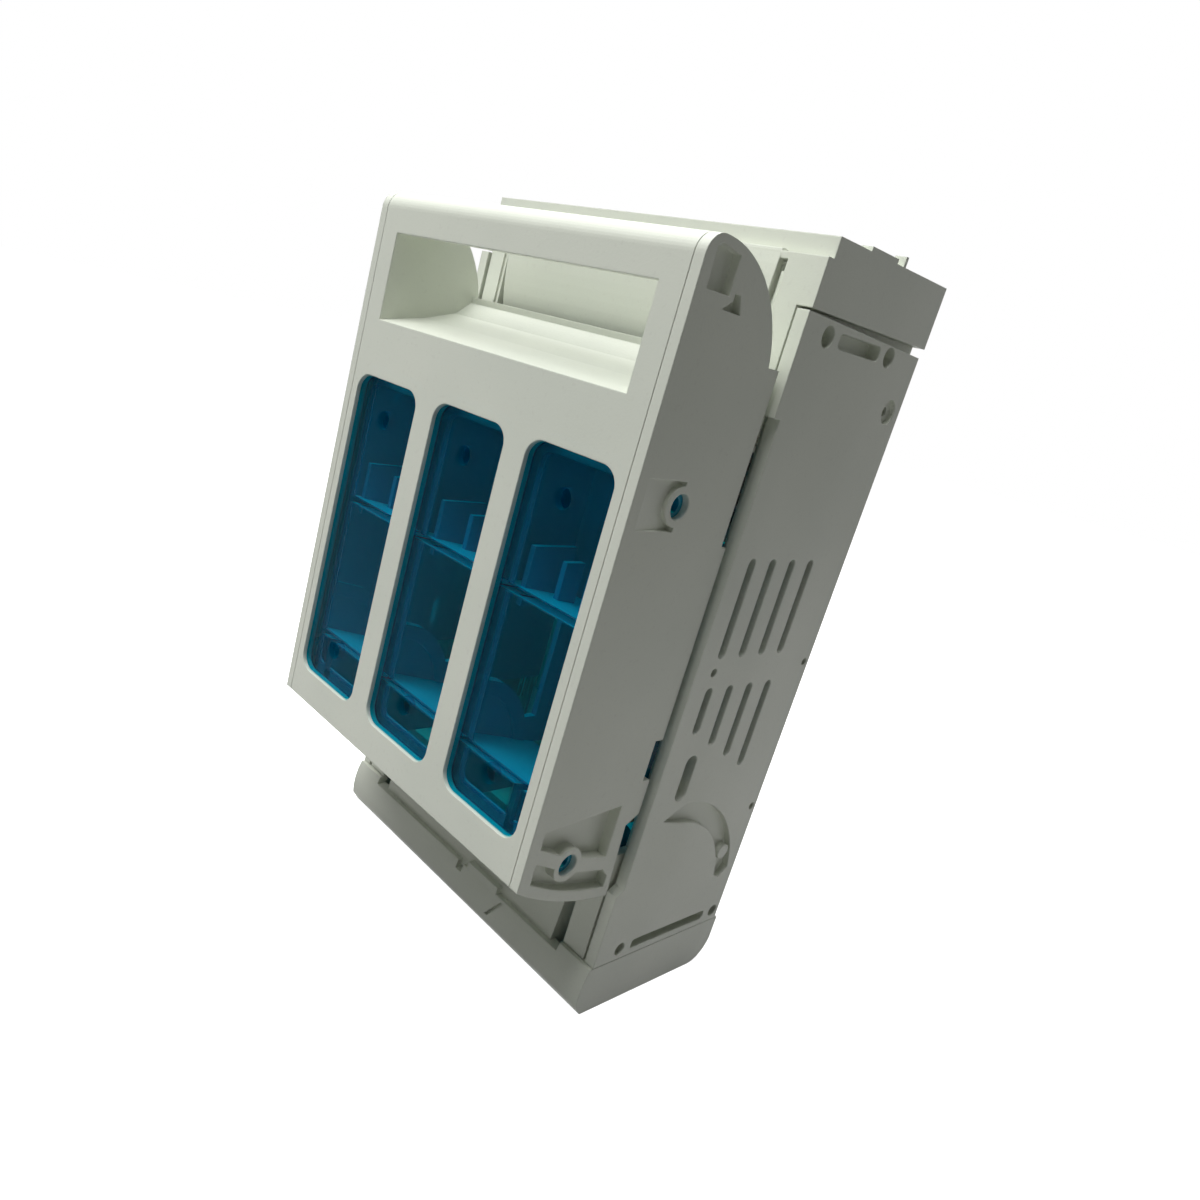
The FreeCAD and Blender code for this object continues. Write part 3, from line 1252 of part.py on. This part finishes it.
def leaning_wall(extra):
    """Side view of the wall behind the lid's foot, made deeper to the rear."""
    front = "low_shroud_front + shroud_wall - low_wall_thick"
    rear = f"low_shroud_front + shroud_wall + {extra}"
    foot = "low_shroud_lip - low_wall_thick"
    return [
        (front, foot),
        (rear, foot),
        (f"{rear} + low_wall_lean", "low_wall_top"),
        (f"{front} + low_wall_lean", "low_wall_top"),
    ]


def make_bottom_shroud():
    """Cap over the lower terminals with its bulging front wall."""
    full = ("-base_width / 2", "base_width / 2")
    foot = "low_shroud_front - low_shroud_slope / 3"
    shell = prism("x", full, [
        (f"{foot} + low_shroud_slope", "0"),
        ("overall_depth - shroud_corner", "0"),
        ("overall_depth", "shroud_corner", "shroud_corner"),
        ("overall_depth", "low_shroud_top"),
        ("low_shroud_front", "low_shroud_top"),
        (foot, "low_shroud_foot", "low_shroud_bulge"),
    ])
    inner_front = "low_shroud_front + shroud_wall"
    edge = "housing_bottom - 2 * seat"
    hollow = prism("x", ("-shroud_inner", "shroud_inner"), [
        (inner_front, "shroud_wall"),
        ("overall_depth - shroud_corner", "shroud_wall"),
        ("overall_depth - shroud_wall", "shroud_corner", "shroud_corner - shroud_wall"),
        ("overall_depth - shroud_wall", edge),
        ("overall_depth + shroud_wall", edge),
        ("overall_depth + shroud_wall", "low_shroud_top + shroud_wall"),
        (inner_front, "low_shroud_top + shroud_wall"),
    ])
    front = ("low_shroud_front - shroud_wall", f"{inner_front} + seat")
    lip = box(
        ("-flange_inner", "flange_inner"), front, ("low_shroud_lip", "low_shroud_top + shroud_wall")
    )
    notch = box(
        ("notch_side", "notch_side + notch_width"), front, ("notch_bottom", "low_shroud_top")
    )
    bulge = "(low_shroud_front - slit_depth)"
    slit = prism("y", (f"{bulge} - low_shroud_slope", f"{bulge} + slit_depth"), [
        ("slit_side", "slit_bottom"),
        ("slit_side + slit_width", "slit_bottom"),
        ("slit_side + slit_run + slit_width", "slit_top"),
        ("slit_side + slit_run", "slit_top"),
    ])
    tab = box(
        ("tab_side", "tab_side + tab_width"), (foot, inner_front), ("tab_bottom", "tab_top")
    )
    bottom = entries(("-shroud_wall", "2 * shroud_wall"))
    wall_side = "arm_outer - arm_thick - arm_gap"
    wall = prism("x", (f"-({wall_side})", wall_side), leaning_wall("0"))
    rib = prism("x", (f"{wall_side} - low_wall_thick", wall_side), leaning_wall("low_rib"))
    return fuse(cut(shell, hollow, lip, notch, slit, *bottom), wall, rib, mirror(rib), tab)


finish("lid_frame", make_lid_frame())
cheek = finish("lid_cheek_right", make_lid_cheek())
finish_mirror("lid_cheek_left", cheek)
finish("fuse_carrier", make_fuse_carrier())
finish("base_housing", make_housing())
panel = finish("side_panel_right", make_side_panel())
finish_mirror("side_panel_left", panel)
finish("terminal_shroud_top", make_top_shroud())
finish("terminal_shroud_bottom", make_bottom_shroud())

ENDS = {
    "upper": ("high_jaw", "high_bolt", "high_jaw - finger_height / 2 - bar_tail", "high_bolt + bar_end"),
    "lower": ("low_jaw", "low_bolt", "low_bolt - bar_end", "low_jaw + finger_height / 2 + bar_tail"),
}
for end, (jaw, bolt, low, high) in ENDS.items():
    finish(f"contact_jaw_{end}_middle", make_jaw("0", jaw, bolt, low, high))
    right = finish(f"contact_jaw_{end}_right", make_jaw("pole_pitch", jaw, bolt, low, high))
    finish_mirror(f"contact_jaw_{end}_left", right)
    web, way = ("high_fingers", "+") if end == "upper" else ("low_fingers", "-")
    finish(f"jaw_spring_{end}_middle", make_spring("0", web, way))
    right = finish(f"jaw_spring_{end}_right", make_spring("pole_pitch", web, way))
    finish_mirror(f"jaw_spring_{end}_left", right)
    finish(f"terminal_bolts_{end}", make_bolts(bolt))
    finish(f"terminal_washers_{end}", make_washers(bolt))
    finish(f"terminal_nuts_{end}", make_nuts(bolt))
middle = ("seat - barrier_inner", "barrier_inner - seat")
finish("arc_plates_middle", make_arc_plates(*middle, "0"))
outer = ("barrier_outer + seat", "housing_inner - seat")
right = finish("arc_plates_right", make_arc_plates(*outer, "pole_pitch"))
finish_mirror("arc_plates_left", right)

doc.recompute()
for thing in doc.Objects:
    if "Invalid" in thing.State or "Error" in thing.State:
        raise RuntimeError("%s is not valid: %s" % (thing.Label, thing.State))
for part in parts:
    if part.Shape.isNull() or not part.Shape.isValid() or not part.Shape.Solids:
        raise RuntimeError("%s has no valid shape" % part.Label)
os.makedirs("parts", exist_ok=True)
for part in parts:
    part.Shape.exportStep("parts/%s.step" % part.Label)
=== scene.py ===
import bpy
from mathutils import Matrix, Vector


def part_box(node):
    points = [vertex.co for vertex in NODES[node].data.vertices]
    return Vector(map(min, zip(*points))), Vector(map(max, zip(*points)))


bl_info = {
    "name": "Fuse switch disconnector",
    "version": (1, 0, 0),
    "blender": (4, 5, 0),
    "location": "View3D > Sidebar > Switchgear",
    "description": "Dresses a three-pole fuse switch disconnector in plastic and metal finishes",
    "category": "Object",
}

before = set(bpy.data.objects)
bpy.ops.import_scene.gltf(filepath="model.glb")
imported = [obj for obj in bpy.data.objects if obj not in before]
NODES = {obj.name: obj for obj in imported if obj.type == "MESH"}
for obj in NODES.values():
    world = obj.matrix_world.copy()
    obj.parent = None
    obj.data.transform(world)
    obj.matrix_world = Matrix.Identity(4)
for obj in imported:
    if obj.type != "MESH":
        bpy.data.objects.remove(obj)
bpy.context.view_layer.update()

MOULDINGS = (
    "lid_frame", "lid_cheek_right", "lid_cheek_left",
    "base_housing", "side_panel_right", "side_panel_left",
    "terminal_shroud_top", "terminal_shroud_bottom",
)
WHITE = (1.0, 1.0, 1.0, 1.0)

# Metres behind the face of the panes at which the carrier starts to be cloudy, and fully is
CLOUD_START = 0.0025
CLOUD_FULL = 0.0045

# Upward part of a normal at which the top of a shelf starts to get painted light, and fully does
SHELF_START = 0.7
SHELF_FULL = 0.95

# Rounding of the metal edges in metres, and brightness of tarnished metal beside clean metal
METAL_EDGE = 0.00025
TARNISH = 0.72

# Value that a noise texture keeps around
NOISE_MIDDLE = 0.5

# The sensor in millimetres, the rest in metres
SENSOR_WIDTH = 36.0
NEAREST = 0.01
FLOOR_WIDTH = 6.0
KEY_LAMP = {"place": (-0.16, -0.42, 0.9), "aim": (0.0, 0.0, 0.1), "size": 0.7}
TOP_LAMP = {"place": (-0.1, 0.12, 0.95), "aim": (0.0, 0.0, 0.15), "size": 0.6}


class Reading:
    """Wraps an output socket of a node tree, so that sums and products add their Math nodes."""

    def __init__(self, web, socket):
        self.web = web
        self.socket = socket

    def _math(self, operation, first, second):
        return self.web.node("ShaderNodeMath", {"operation": operation}, {0: first, 1: second})

    def __add__(self, other):
        return self._math("ADD", self, other)

    def __radd__(self, other):
        return self._math("ADD", other, self)

    def __sub__(self, other):
        return self._math("SUBTRACT", self, other)

    def __rsub__(self, other):
        return self._math("SUBTRACT", other, self)

    def __mul__(self, other):
        return self._math("MULTIPLY", self, other)

    def __rmul__(self, other):
        return self._math("MULTIPLY", other, self)

    def larger(self, other):
        """The larger one of two values."""
        return self._math("MAXIMUM", self, other)

    def swing(self, amount):
        """How far a noise is from its middle, at most half the amount each way."""
        return amount * (self - NOISE_MIDDLE)

    def between(self, low, high):
        """0 below the low value, 1 above the high one and smooth between."""
        settings = {"interpolation_type": "SMOOTHSTEP"}
        inputs = {"Value": self, "From Min": low, "From Max": high}
        return self.web.node("ShaderNodeMapRange", settings, inputs)


class Web:
    """An emptied node tree and the few ways in which its nodes are added."""

    def __init__(self, tree):
        self.tree = tree
        self.tree.nodes.clear()

    def node(self, kind, settings, inputs, output=0):
        """Add a node: its settings first, then the values or links of its sockets.

        Gives the output asked for, or nothing where the node has none.
        """
        made = self.tree.nodes.new(kind)
        for key, setting in settings.items():
            setattr(made, key, setting)
        for key, given in inputs.items():
            if isinstance(given, Reading):
                self.tree.links.new(given.socket, made.inputs[key])
            else:
                made.inputs[key].default_value = given
        if made.outputs:
            return Reading(self, made.outputs[output])
        return None

    def mix(self, mask, first, second):
        """Shader that goes from the first to the second where the mask is 1."""
        return self.node("ShaderNodeMixShader", {}, {0: mask, 1: first, 2: second})

    def seen(self):
        """1 for rays from the camera, off a gloss or through a clear piece, otherwise 0."""
        rays = [
            self.node("ShaderNodeLightPath", {}, {}, kind)
            for kind in ("Is Camera Ray", "Is Glossy Ray", "Is Transmission Ray")
        ]
        return rays[0].larger(rays[1]).larger(rays[2])


class Paint(Web):
    """A new material with the patterns and normals that the finishes share."""

    def __init__(self, name):
        self.material = bpy.data.materials.new(name)
        self.material.use_nodes = True
        super().__init__(self.material.node_tree)
        self.place = self.node("ShaderNodeTexCoord", {}, {}, "Object")

    def noise(self, scale, detail, roughness=0.5, stretch=(1.0, 1.0, 1.0)):
        """Noise of a number of bumps per metre, stretched along the axes."""
        where = self.node("ShaderNodeMapping", {}, {"Vector": self.place, "Scale": stretch})
        inputs = {"Vector": where, "Scale": scale, "Detail": detail, "Roughness": roughness}
        return self.node("ShaderNodeTexNoise", {}, inputs, "Fac")

    def blend(self, mask, first, second):
        """Colour that goes from the first to the second where the mask is 1."""
        sockets = {0: mask, 6: first, 7: second}
        return self.node("ShaderNodeMix", {"data_type": "RGBA"}, sockets, 2)

    def soft_edges(self, radius):
        """Surface normal rounded over sharp edges, for the small radius of a moulded edge."""
        return self.node("ShaderNodeBevel", {"samples": 6}, {"Radius": radius})

    def bump(self, height, distance, strength, normal):
        """Normal that follows a height on top of another normal."""
        inputs = {"Height": height, "Distance": distance, "Strength": strength, "Normal": normal}
        return self.node("ShaderNodeBump", {}, inputs)

    def finish(self, shader):
        """Show the shader on the surface and return the material."""
        self.node("ShaderNodeOutputMaterial", {}, {"Surface": shader})
        return self.material


class MouldingFinish(bpy.types.PropertyGroup):
    """Finish of the pale mouldings"""
    colour: bpy.props.FloatVectorProperty(
        name="Colour", description="Pale plastic of the lid and the base",
        default=(0.715, 0.745, 0.655), min=0.0, max=1.0, size=3, subtype="COLOR")
    shade: bpy.props.FloatVectorProperty(
        name="Shade", description="Slightly darker colour that clouds the plastic",
        default=(0.675, 0.71, 0.625), min=0.0, max=1.0, size=3, subtype="COLOR")
    roughness: bpy.props.FloatProperty(
        name="Roughness", description="Mean roughness of the fine spark-eroded surface",
        default=0.5, min=0.0, max=1.0, subtype="FACTOR")
    grain: bpy.props.FloatProperty(
        name="Grain", description="Size of one grain of the surface",
        default=0.0006, min=0.0001, max=0.01, subtype="DISTANCE", unit="LENGTH")
    edge: bpy.props.FloatProperty(
        name="Edge radius", description="Radius of the moulded edges",
        default=0.0004, min=0.0, max=0.002, subtype="DISTANCE", unit="LENGTH")


class ClearFinish(bpy.types.PropertyGroup):
    """Finish of the clear blue carrier"""
    tint: bpy.props.FloatVectorProperty(
        name="Tint", description="Colour that one surface of the clear plastic lets through",
        default=(0.012, 0.79, 0.88), min=0.0, max=1.0, size=3, subtype="COLOR")
    colour: bpy.props.FloatVectorProperty(
        name="Colour", description="Colour that the plastic itself scatters",
        default=(0.0, 0.34, 0.52), min=0.0, max=1.0, size=3, subtype="COLOR")
    # Painted light: a brighter blue on the upward shelf tops, standing in for light from above
    lit: bpy.props.FloatVectorProperty(
        name="Painted shelf light", description="Colour that the tops of the shelves show as painted light",
        default=(0.0, 0.92, 1.0), min=0.0, max=1.0, size=3, subtype="COLOR")
    pane_body: bpy.props.FloatProperty(
        name="Pane cloudiness", description="How much of the light a polished pane scatters",
        default=0.015, min=0.0, max=1.0, subtype="FACTOR")
    wall_body: bpy.props.FloatProperty(
        name="Wall cloudiness", description="How much of the light the inner walls scatter",
        default=0.8, min=0.0, max=1.0, subtype="FACTOR")
    edge: bpy.props.FloatProperty(
        name="Edge radius", description="Radius of the moulded edges",
        default=0.0003, min=0.0, max=0.002, subtype="DISTANCE", unit="LENGTH")


class MetalFinish(bpy.types.PropertyGroup):
    """Colours of the metals"""
    silver: bpy.props.FloatVectorProperty(
        name="Silver", description="Plating of the contact jaws and terminal bars",
        default=(0.78, 0.75, 0.69), min=0.0, max=1.0, size=3, subtype="COLOR")
    zinc: bpy.props.FloatVectorProperty(
        name="Zinc", description="Plating of the bolts, washers and nuts",
        default=(0.62, 0.63, 0.64), min=0.0, max=1.0, size=3, subtype="COLOR")
    spring: bpy.props.FloatVectorProperty(
        name="Spring steel", description="Jaw springs",
        default=(0.32, 0.33, 0.35), min=0.0, max=1.0, size=3, subtype="COLOR")
    sheet: bpy.props.FloatVectorProperty(
        name="Sheet steel", description="Splitter plates in the arc chambers",
        default=(0.46, 0.46, 0.45), min=0.0, max=1.0, size=3, subtype="COLOR")


class StageLook(bpy.types.PropertyGroup):
    """Camera and light"""
    eye: bpy.props.FloatVectorProperty(
        name="Eye", description="Place of the camera",
        default=(0.16107, -0.18479, 0.16140), size=3, subtype="TRANSLATION", unit="LENGTH")
    right: bpy.props.FloatVectorProperty(
        name="Right", description="Direction to the right in the picture",
        default=(0.624, 0.7447, 0.2367), size=3, subtype="DIRECTION")
    forward: bpy.props.FloatVectorProperty(
        name="Forward", description="Direction in which the camera looks",
        default=(-0.6939, 0.6673, -0.2705), size=3, subtype="DIRECTION")
    lens: bpy.props.FloatProperty(
        name="Lens", description="Focal length on a 36 mm sensor",
        default=27.834, min=1.0, subtype="DISTANCE_CAMERA")
    shift: bpy.props.FloatVectorProperty(
        name="Shift", description="Shift of the camera's frame",
        default=(0.1015, -0.0176), size=2)
    key: bpy.props.FloatProperty(
        name="Key light", description="Power of the large lamp above the front",
        default=9.4, min=0.0, subtype="POWER", unit="POWER")
    top: bpy.props.FloatProperty(
        name="Top light", description="Power of the large lamp above the object",
        default=5.0, min=0.0, subtype="POWER", unit="POWER")
    fill: bpy.props.FloatProperty(
        name="Fill", description="Strength of the even light from all round",
        default=0.04, min=0.0)


def make_moulding(look):
    """Pale moulded plastic: fine grain, clouded colour, satin gloss and rounded edges."""
    paint = Paint("pale_moulding")
    cloud = paint.noise(scale=22.0, detail=2.0).between(low=0.35, high=0.7)
    clouded = paint.blend(cloud, (*look.colour, 1.0), (*look.shade, 1.0))
    speck = paint.noise(scale=900.0, detail=1.0).between(low=0.62, high=0.78)
    speck_share = 0.12
    speck_colour = (0.5, 0.5, 0.44, 1.0)
    colour = paint.blend(speck_share * speck, clouded, speck_colour)
    grain = paint.noise(scale=1.0 / look.grain, detail=3.0, roughness=0.6)
    flow = paint.noise(scale=45.0, detail=2.0, stretch=(1.0, 1.0, 0.35))
    rounded = paint.soft_edges(look.edge)
    coarse = paint.bump(flow, distance=0.0006, strength=0.12, normal=rounded)
    normal = paint.bump(grain, distance=0.00008, strength=0.35, normal=coarse)
    roughness = look.roughness + flow.swing(0.14) + grain.swing(0.1)
    surface = paint.node("ShaderNodeBsdfPrincipled", {}, {
        "Base Color": colour, "Roughness": roughness, "IOR": 1.49, "Normal": normal})
    return paint.finish(surface)


def make_clear(look):
    """Clear blue plastic: polished panes, with cloudy walls behind them and painted light on the
    upward shelf tops.
    """
    paint = Paint("clear_blue")
    depth = paint.node("ShaderNodeSeparateXYZ", {}, {"Vector": paint.place}, "Y")
    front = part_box("fuse_carrier")[0].y
    inner = depth.between(front + CLOUD_START, front + CLOUD_FULL)
    way = paint.node("ShaderNodeTexCoord", {}, {}, "Normal")
    upward = paint.node("ShaderNodeSeparateXYZ", {}, {"Vector": way}, "Z")
    # Painted light: upward faces deep in the carrier get the brighter shelf colour and let less
    # through, as if lit from above
    shelf = inner * upward.between(SHELF_START, SHELF_FULL)
    wall = look.pane_body + (look.wall_body - look.pane_body) * inner
    colour = paint.blend(shelf, (*look.colour, 1.0), (*look.lit, 1.0))
    flow = paint.noise(scale=60.0, detail=2.0)
    rounded = paint.soft_edges(look.edge)
    normal = paint.bump(flow, distance=0.0005, strength=0.15, normal=rounded)
    frost = paint.noise(scale=350.0, detail=2.0)
    pane_roughness = 0.07
    wall_roughness = 0.2
    frost_roughness = 0.06
    roughness = pane_roughness + wall_roughness * inner + frost_roughness * frost
    surface = paint.node("ShaderNodeBsdfPrincipled", {}, {
        "Base Color": colour, "Roughness": roughness, "IOR": 1.58, "Normal": normal})
    through = paint.node("ShaderNodeBsdfTransparent", {}, {"Color": (*look.tint, 1.0)})
    slant = paint.node("ShaderNodeLayerWeight", {}, {"Blend": 0.5, "Normal": normal}, "Facing")
    straight_gloss = 0.04
    glancing_gloss = 0.6
    gloss = straight_gloss + glancing_gloss * slant * slant * slant * slant
    # The painted shelf light also makes the shelf tops less see-through
    return paint.finish(paint.mix(wall.larger(shelf).larger(gloss), through, surface))


def make_metal(name, colour, roughness, brush, stretch):
    """Plated or plain metal with fine lines or grain and a few dull patches."""
    paint = Paint(name)
    lines = paint.noise(scale=brush, detail=4.0, roughness=0.65, stretch=stretch)
    dull = paint.noise(scale=70.0, detail=3.0).between(low=0.45, high=0.75)
    dull_share = 0.5
    dull_roughness = 0.16
    tarnish = tuple(TARNISH * part for part in colour)
    shown = paint.blend(dull_share * dull, (*colour, 1.0), (*tarnish, 1.0))
    rounded = paint.soft_edges(METAL_EDGE)
    normal = paint.bump(lines, distance=0.00005, strength=0.4, normal=rounded)
    uneven = roughness + dull_roughness * dull + lines.swing(0.12)
    surface = paint.node("ShaderNodeBsdfPrincipled", {}, {
        "Base Color": shown, "Metallic": 1.0, "Roughness": uneven, "Normal": normal})
    return paint.finish(surface)


def dress(name, material):
    """Give all faces of a CAD node one material, with no smoothing."""
    mesh = NODES[name].data
    mesh.materials.clear()
    mesh.materials.append(material)
    for polygon in mesh.polygons:
        polygon.material_index = 0
        polygon.use_smooth = False


class SWITCH_OT_mouldings(bpy.types.Operator):
    """Dress the pale mouldings of the lid and the base"""
    bl_idname = "switchgear.mouldings"
    bl_label = "Pale mouldings"

    def execute(self, context):
        material = make_moulding(context.scene.switch_moulding)
        for name in MOULDINGS:
            dress(name, material)
        return {"FINISHED"}


class SWITCH_OT_carrier(bpy.types.Operator):
    """Dress the clear blue fuse carrier"""
    bl_idname = "switchgear.carrier"
    bl_label = "Clear carrier"

    def execute(self, context):
        dress("fuse_carrier", make_clear(context.scene.switch_clear))
        return {"FINISHED"}


class SWITCH_OT_contacts(bpy.types.Operator):
    """Dress the jaws, springs, fasteners and splitter plates"""
    bl_idname = "switchgear.contacts"
    bl_label = "Contacts and fasteners"

    def execute(self, context):
        look = context.scene.switch_metal
        finishes = {
            "contact_jaw": make_metal(
                "silver_plate", look.silver, roughness=0.26, brush=900.0, stretch=(1.0, 1.0, 0.05)),
            "jaw_spring": make_metal(
                "spring_steel", look.spring, roughness=0.34, brush=1200.0, stretch=(1.0, 0.05, 1.0)),
            "terminal": make_metal(
                "zinc_plate", look.zinc, roughness=0.3, brush=700.0, stretch=(1.0, 1.0, 1.0)),
            "arc_plates": make_metal(
                "sheet_steel", look.sheet, roughness=0.42, brush=800.0, stretch=(0.05, 1.0, 1.0)),
        }
        for name in NODES:
            if name in MOULDINGS or name == "fuse_carrier":
                continue
            kinds = [kind for kind in finishes if name.startswith(kind)]
            dress(name, finishes[kinds[0]])
        return {"FINISHED"}


def sky(world, strength):
    """Even light from all round; the camera, gloss and clear plastic see plain white."""
    world.use_nodes = True
    web = Web(world.node_tree)
    light = web.node("ShaderNodeBackground", {}, {"Color": WHITE, "Strength": strength})
    plain = web.node("ShaderNodeBackground", {}, {"Color": WHITE})
    web.node("ShaderNodeOutputWorld", {}, {"Surface": web.mix(web.seen(), light, plain)})


def floor_material():
    """Matt grey floor that the camera, gloss and clear plastic see nearly white, with a shadow."""
    paint = Paint("pale_floor")
    mottle = paint.noise(scale=3.0, detail=2.0)
    darker = (0.24, 0.24, 0.235, 1.0)
    lighter = (0.28, 0.28, 0.275, 1.0)
    tone = paint.blend(mottle, darker, lighter)
    matt = paint.node("ShaderNodeBsdfDiffuse", {}, {"Color": tone})
    bright = paint.node("ShaderNodeBsdfDiffuse", {}, {"Color": (0.9, 0.9, 0.9, 1.0)})
    glow = paint.node("ShaderNodeEmission", {}, {"Color": WHITE, "Strength": 0.97})
    white = paint.node("ShaderNodeAddShader", {}, {0: bright, 1: glow})
    return paint.finish(paint.mix(paint.seen(), matt, white))


def add_camera(look):
    """Camera at its place, turned by the directions forward and to the right in the picture."""
    data = bpy.data.cameras.new("camera")
    data.sensor_width = SENSOR_WIDTH
    data.lens = look.lens
    data.shift_x, data.shift_y = look.shift
    data.clip_start = NEAREST
    camera = bpy.data.objects.new("camera", data)
    right = Vector(look.right).normalized()
    forward = Vector(look.forward).normalized()
    up = right.cross(forward).normalized()
    turn = Matrix((right, up, -forward)).transposed().to_4x4()
    camera.matrix_world = Matrix.Translation(Vector(look.eye)) @ turn
    bpy.context.scene.collection.objects.link(camera)
    return camera


def add_lamp(name, power, place, aim, size):
    """Large square lamp that faces a point."""
    data = bpy.data.lights.new(name, "AREA")
    data.shape = "SQUARE"
    data.size = size
    data.energy = power
    lamp = bpy.data.objects.new(name, data)
    lamp.location = place
    lamp.rotation_euler = (Vector(aim) - Vector(place)).to_track_quat("-Z", "Y").to_euler()
    bpy.context.scene.collection.objects.link(lamp)


class SWITCH_OT_stage(bpy.types.Operator):
    """Set the camera at the photograph's angle, the floor and the light"""
    bl_idname = "switchgear.stage"
    bl_label = "Camera, floor and light"

    def execute(self, context):
        look = context.scene.switch_stage
        context.scene.camera = add_camera(look)
        bpy.ops.mesh.primitive_plane_add(size=FLOOR_WIDTH, location=(0.0, 0.0, 0.0))
        floor = context.object
        floor.name = "floor"
        floor.data.materials.append(floor_material())
        world = bpy.data.worlds.new("studio")
        context.scene.world = world
        sky(world, look.fill)
        add_lamp("key_lamp", look.key, **KEY_LAMP)
        add_lamp("top_lamp", look.top, **TOP_LAMP)
        context.scene.view_settings.view_transform = "Standard"
        return {"FINISHED"}


OPERATORS = (SWITCH_OT_stage, SWITCH_OT_mouldings, SWITCH_OT_carrier, SWITCH_OT_contacts)
GROUPS = {
    "switch_moulding": MouldingFinish,
    "switch_clear": ClearFinish,
    "switch_metal": MetalFinish,
    "switch_stage": StageLook,
}


class SWITCH_PT_panel(bpy.types.Panel):
    """Lists the operators of the fuse switch disconnector"""
    bl_idname = "SWITCH_PT_panel"
    bl_label = "Fuse switch disconnector"
    bl_space_type = "VIEW_3D"
    bl_region_type = "UI"
    bl_category = "Switchgear"

    def draw(self, context):
        for operator in OPERATORS:
            self.layout.operator(operator.bl_idname)
        for name, group in GROUPS.items():
            box = self.layout.box()
            for prop in group.__annotations__:
                box.prop(getattr(context.scene, name), prop)


def register():
    for group in GROUPS.values():
        bpy.utils.register_class(group)
    for name, group in GROUPS.items():
        setattr(bpy.types.Scene, name, bpy.props.PointerProperty(type=group))
    for operator in OPERATORS:
        bpy.utils.register_class(operator)
    bpy.utils.register_class(SWITCH_PT_panel)


def unregister():
    bpy.utils.unregister_class(SWITCH_PT_panel)
    for operator in reversed(OPERATORS):
        bpy.utils.unregister_class(operator)
    for name in GROUPS:
        delattr(bpy.types.Scene, name)
    for group in GROUPS.values():
        bpy.utils.unregister_class(group)


def main():
    register()
    for operator in OPERATORS:
        family, name = operator.bl_idname.split(".")
        getattr(getattr(bpy.ops, family), name)()
    bpy.context.view_layer.update()


if __name__ == "__main__":
    main()
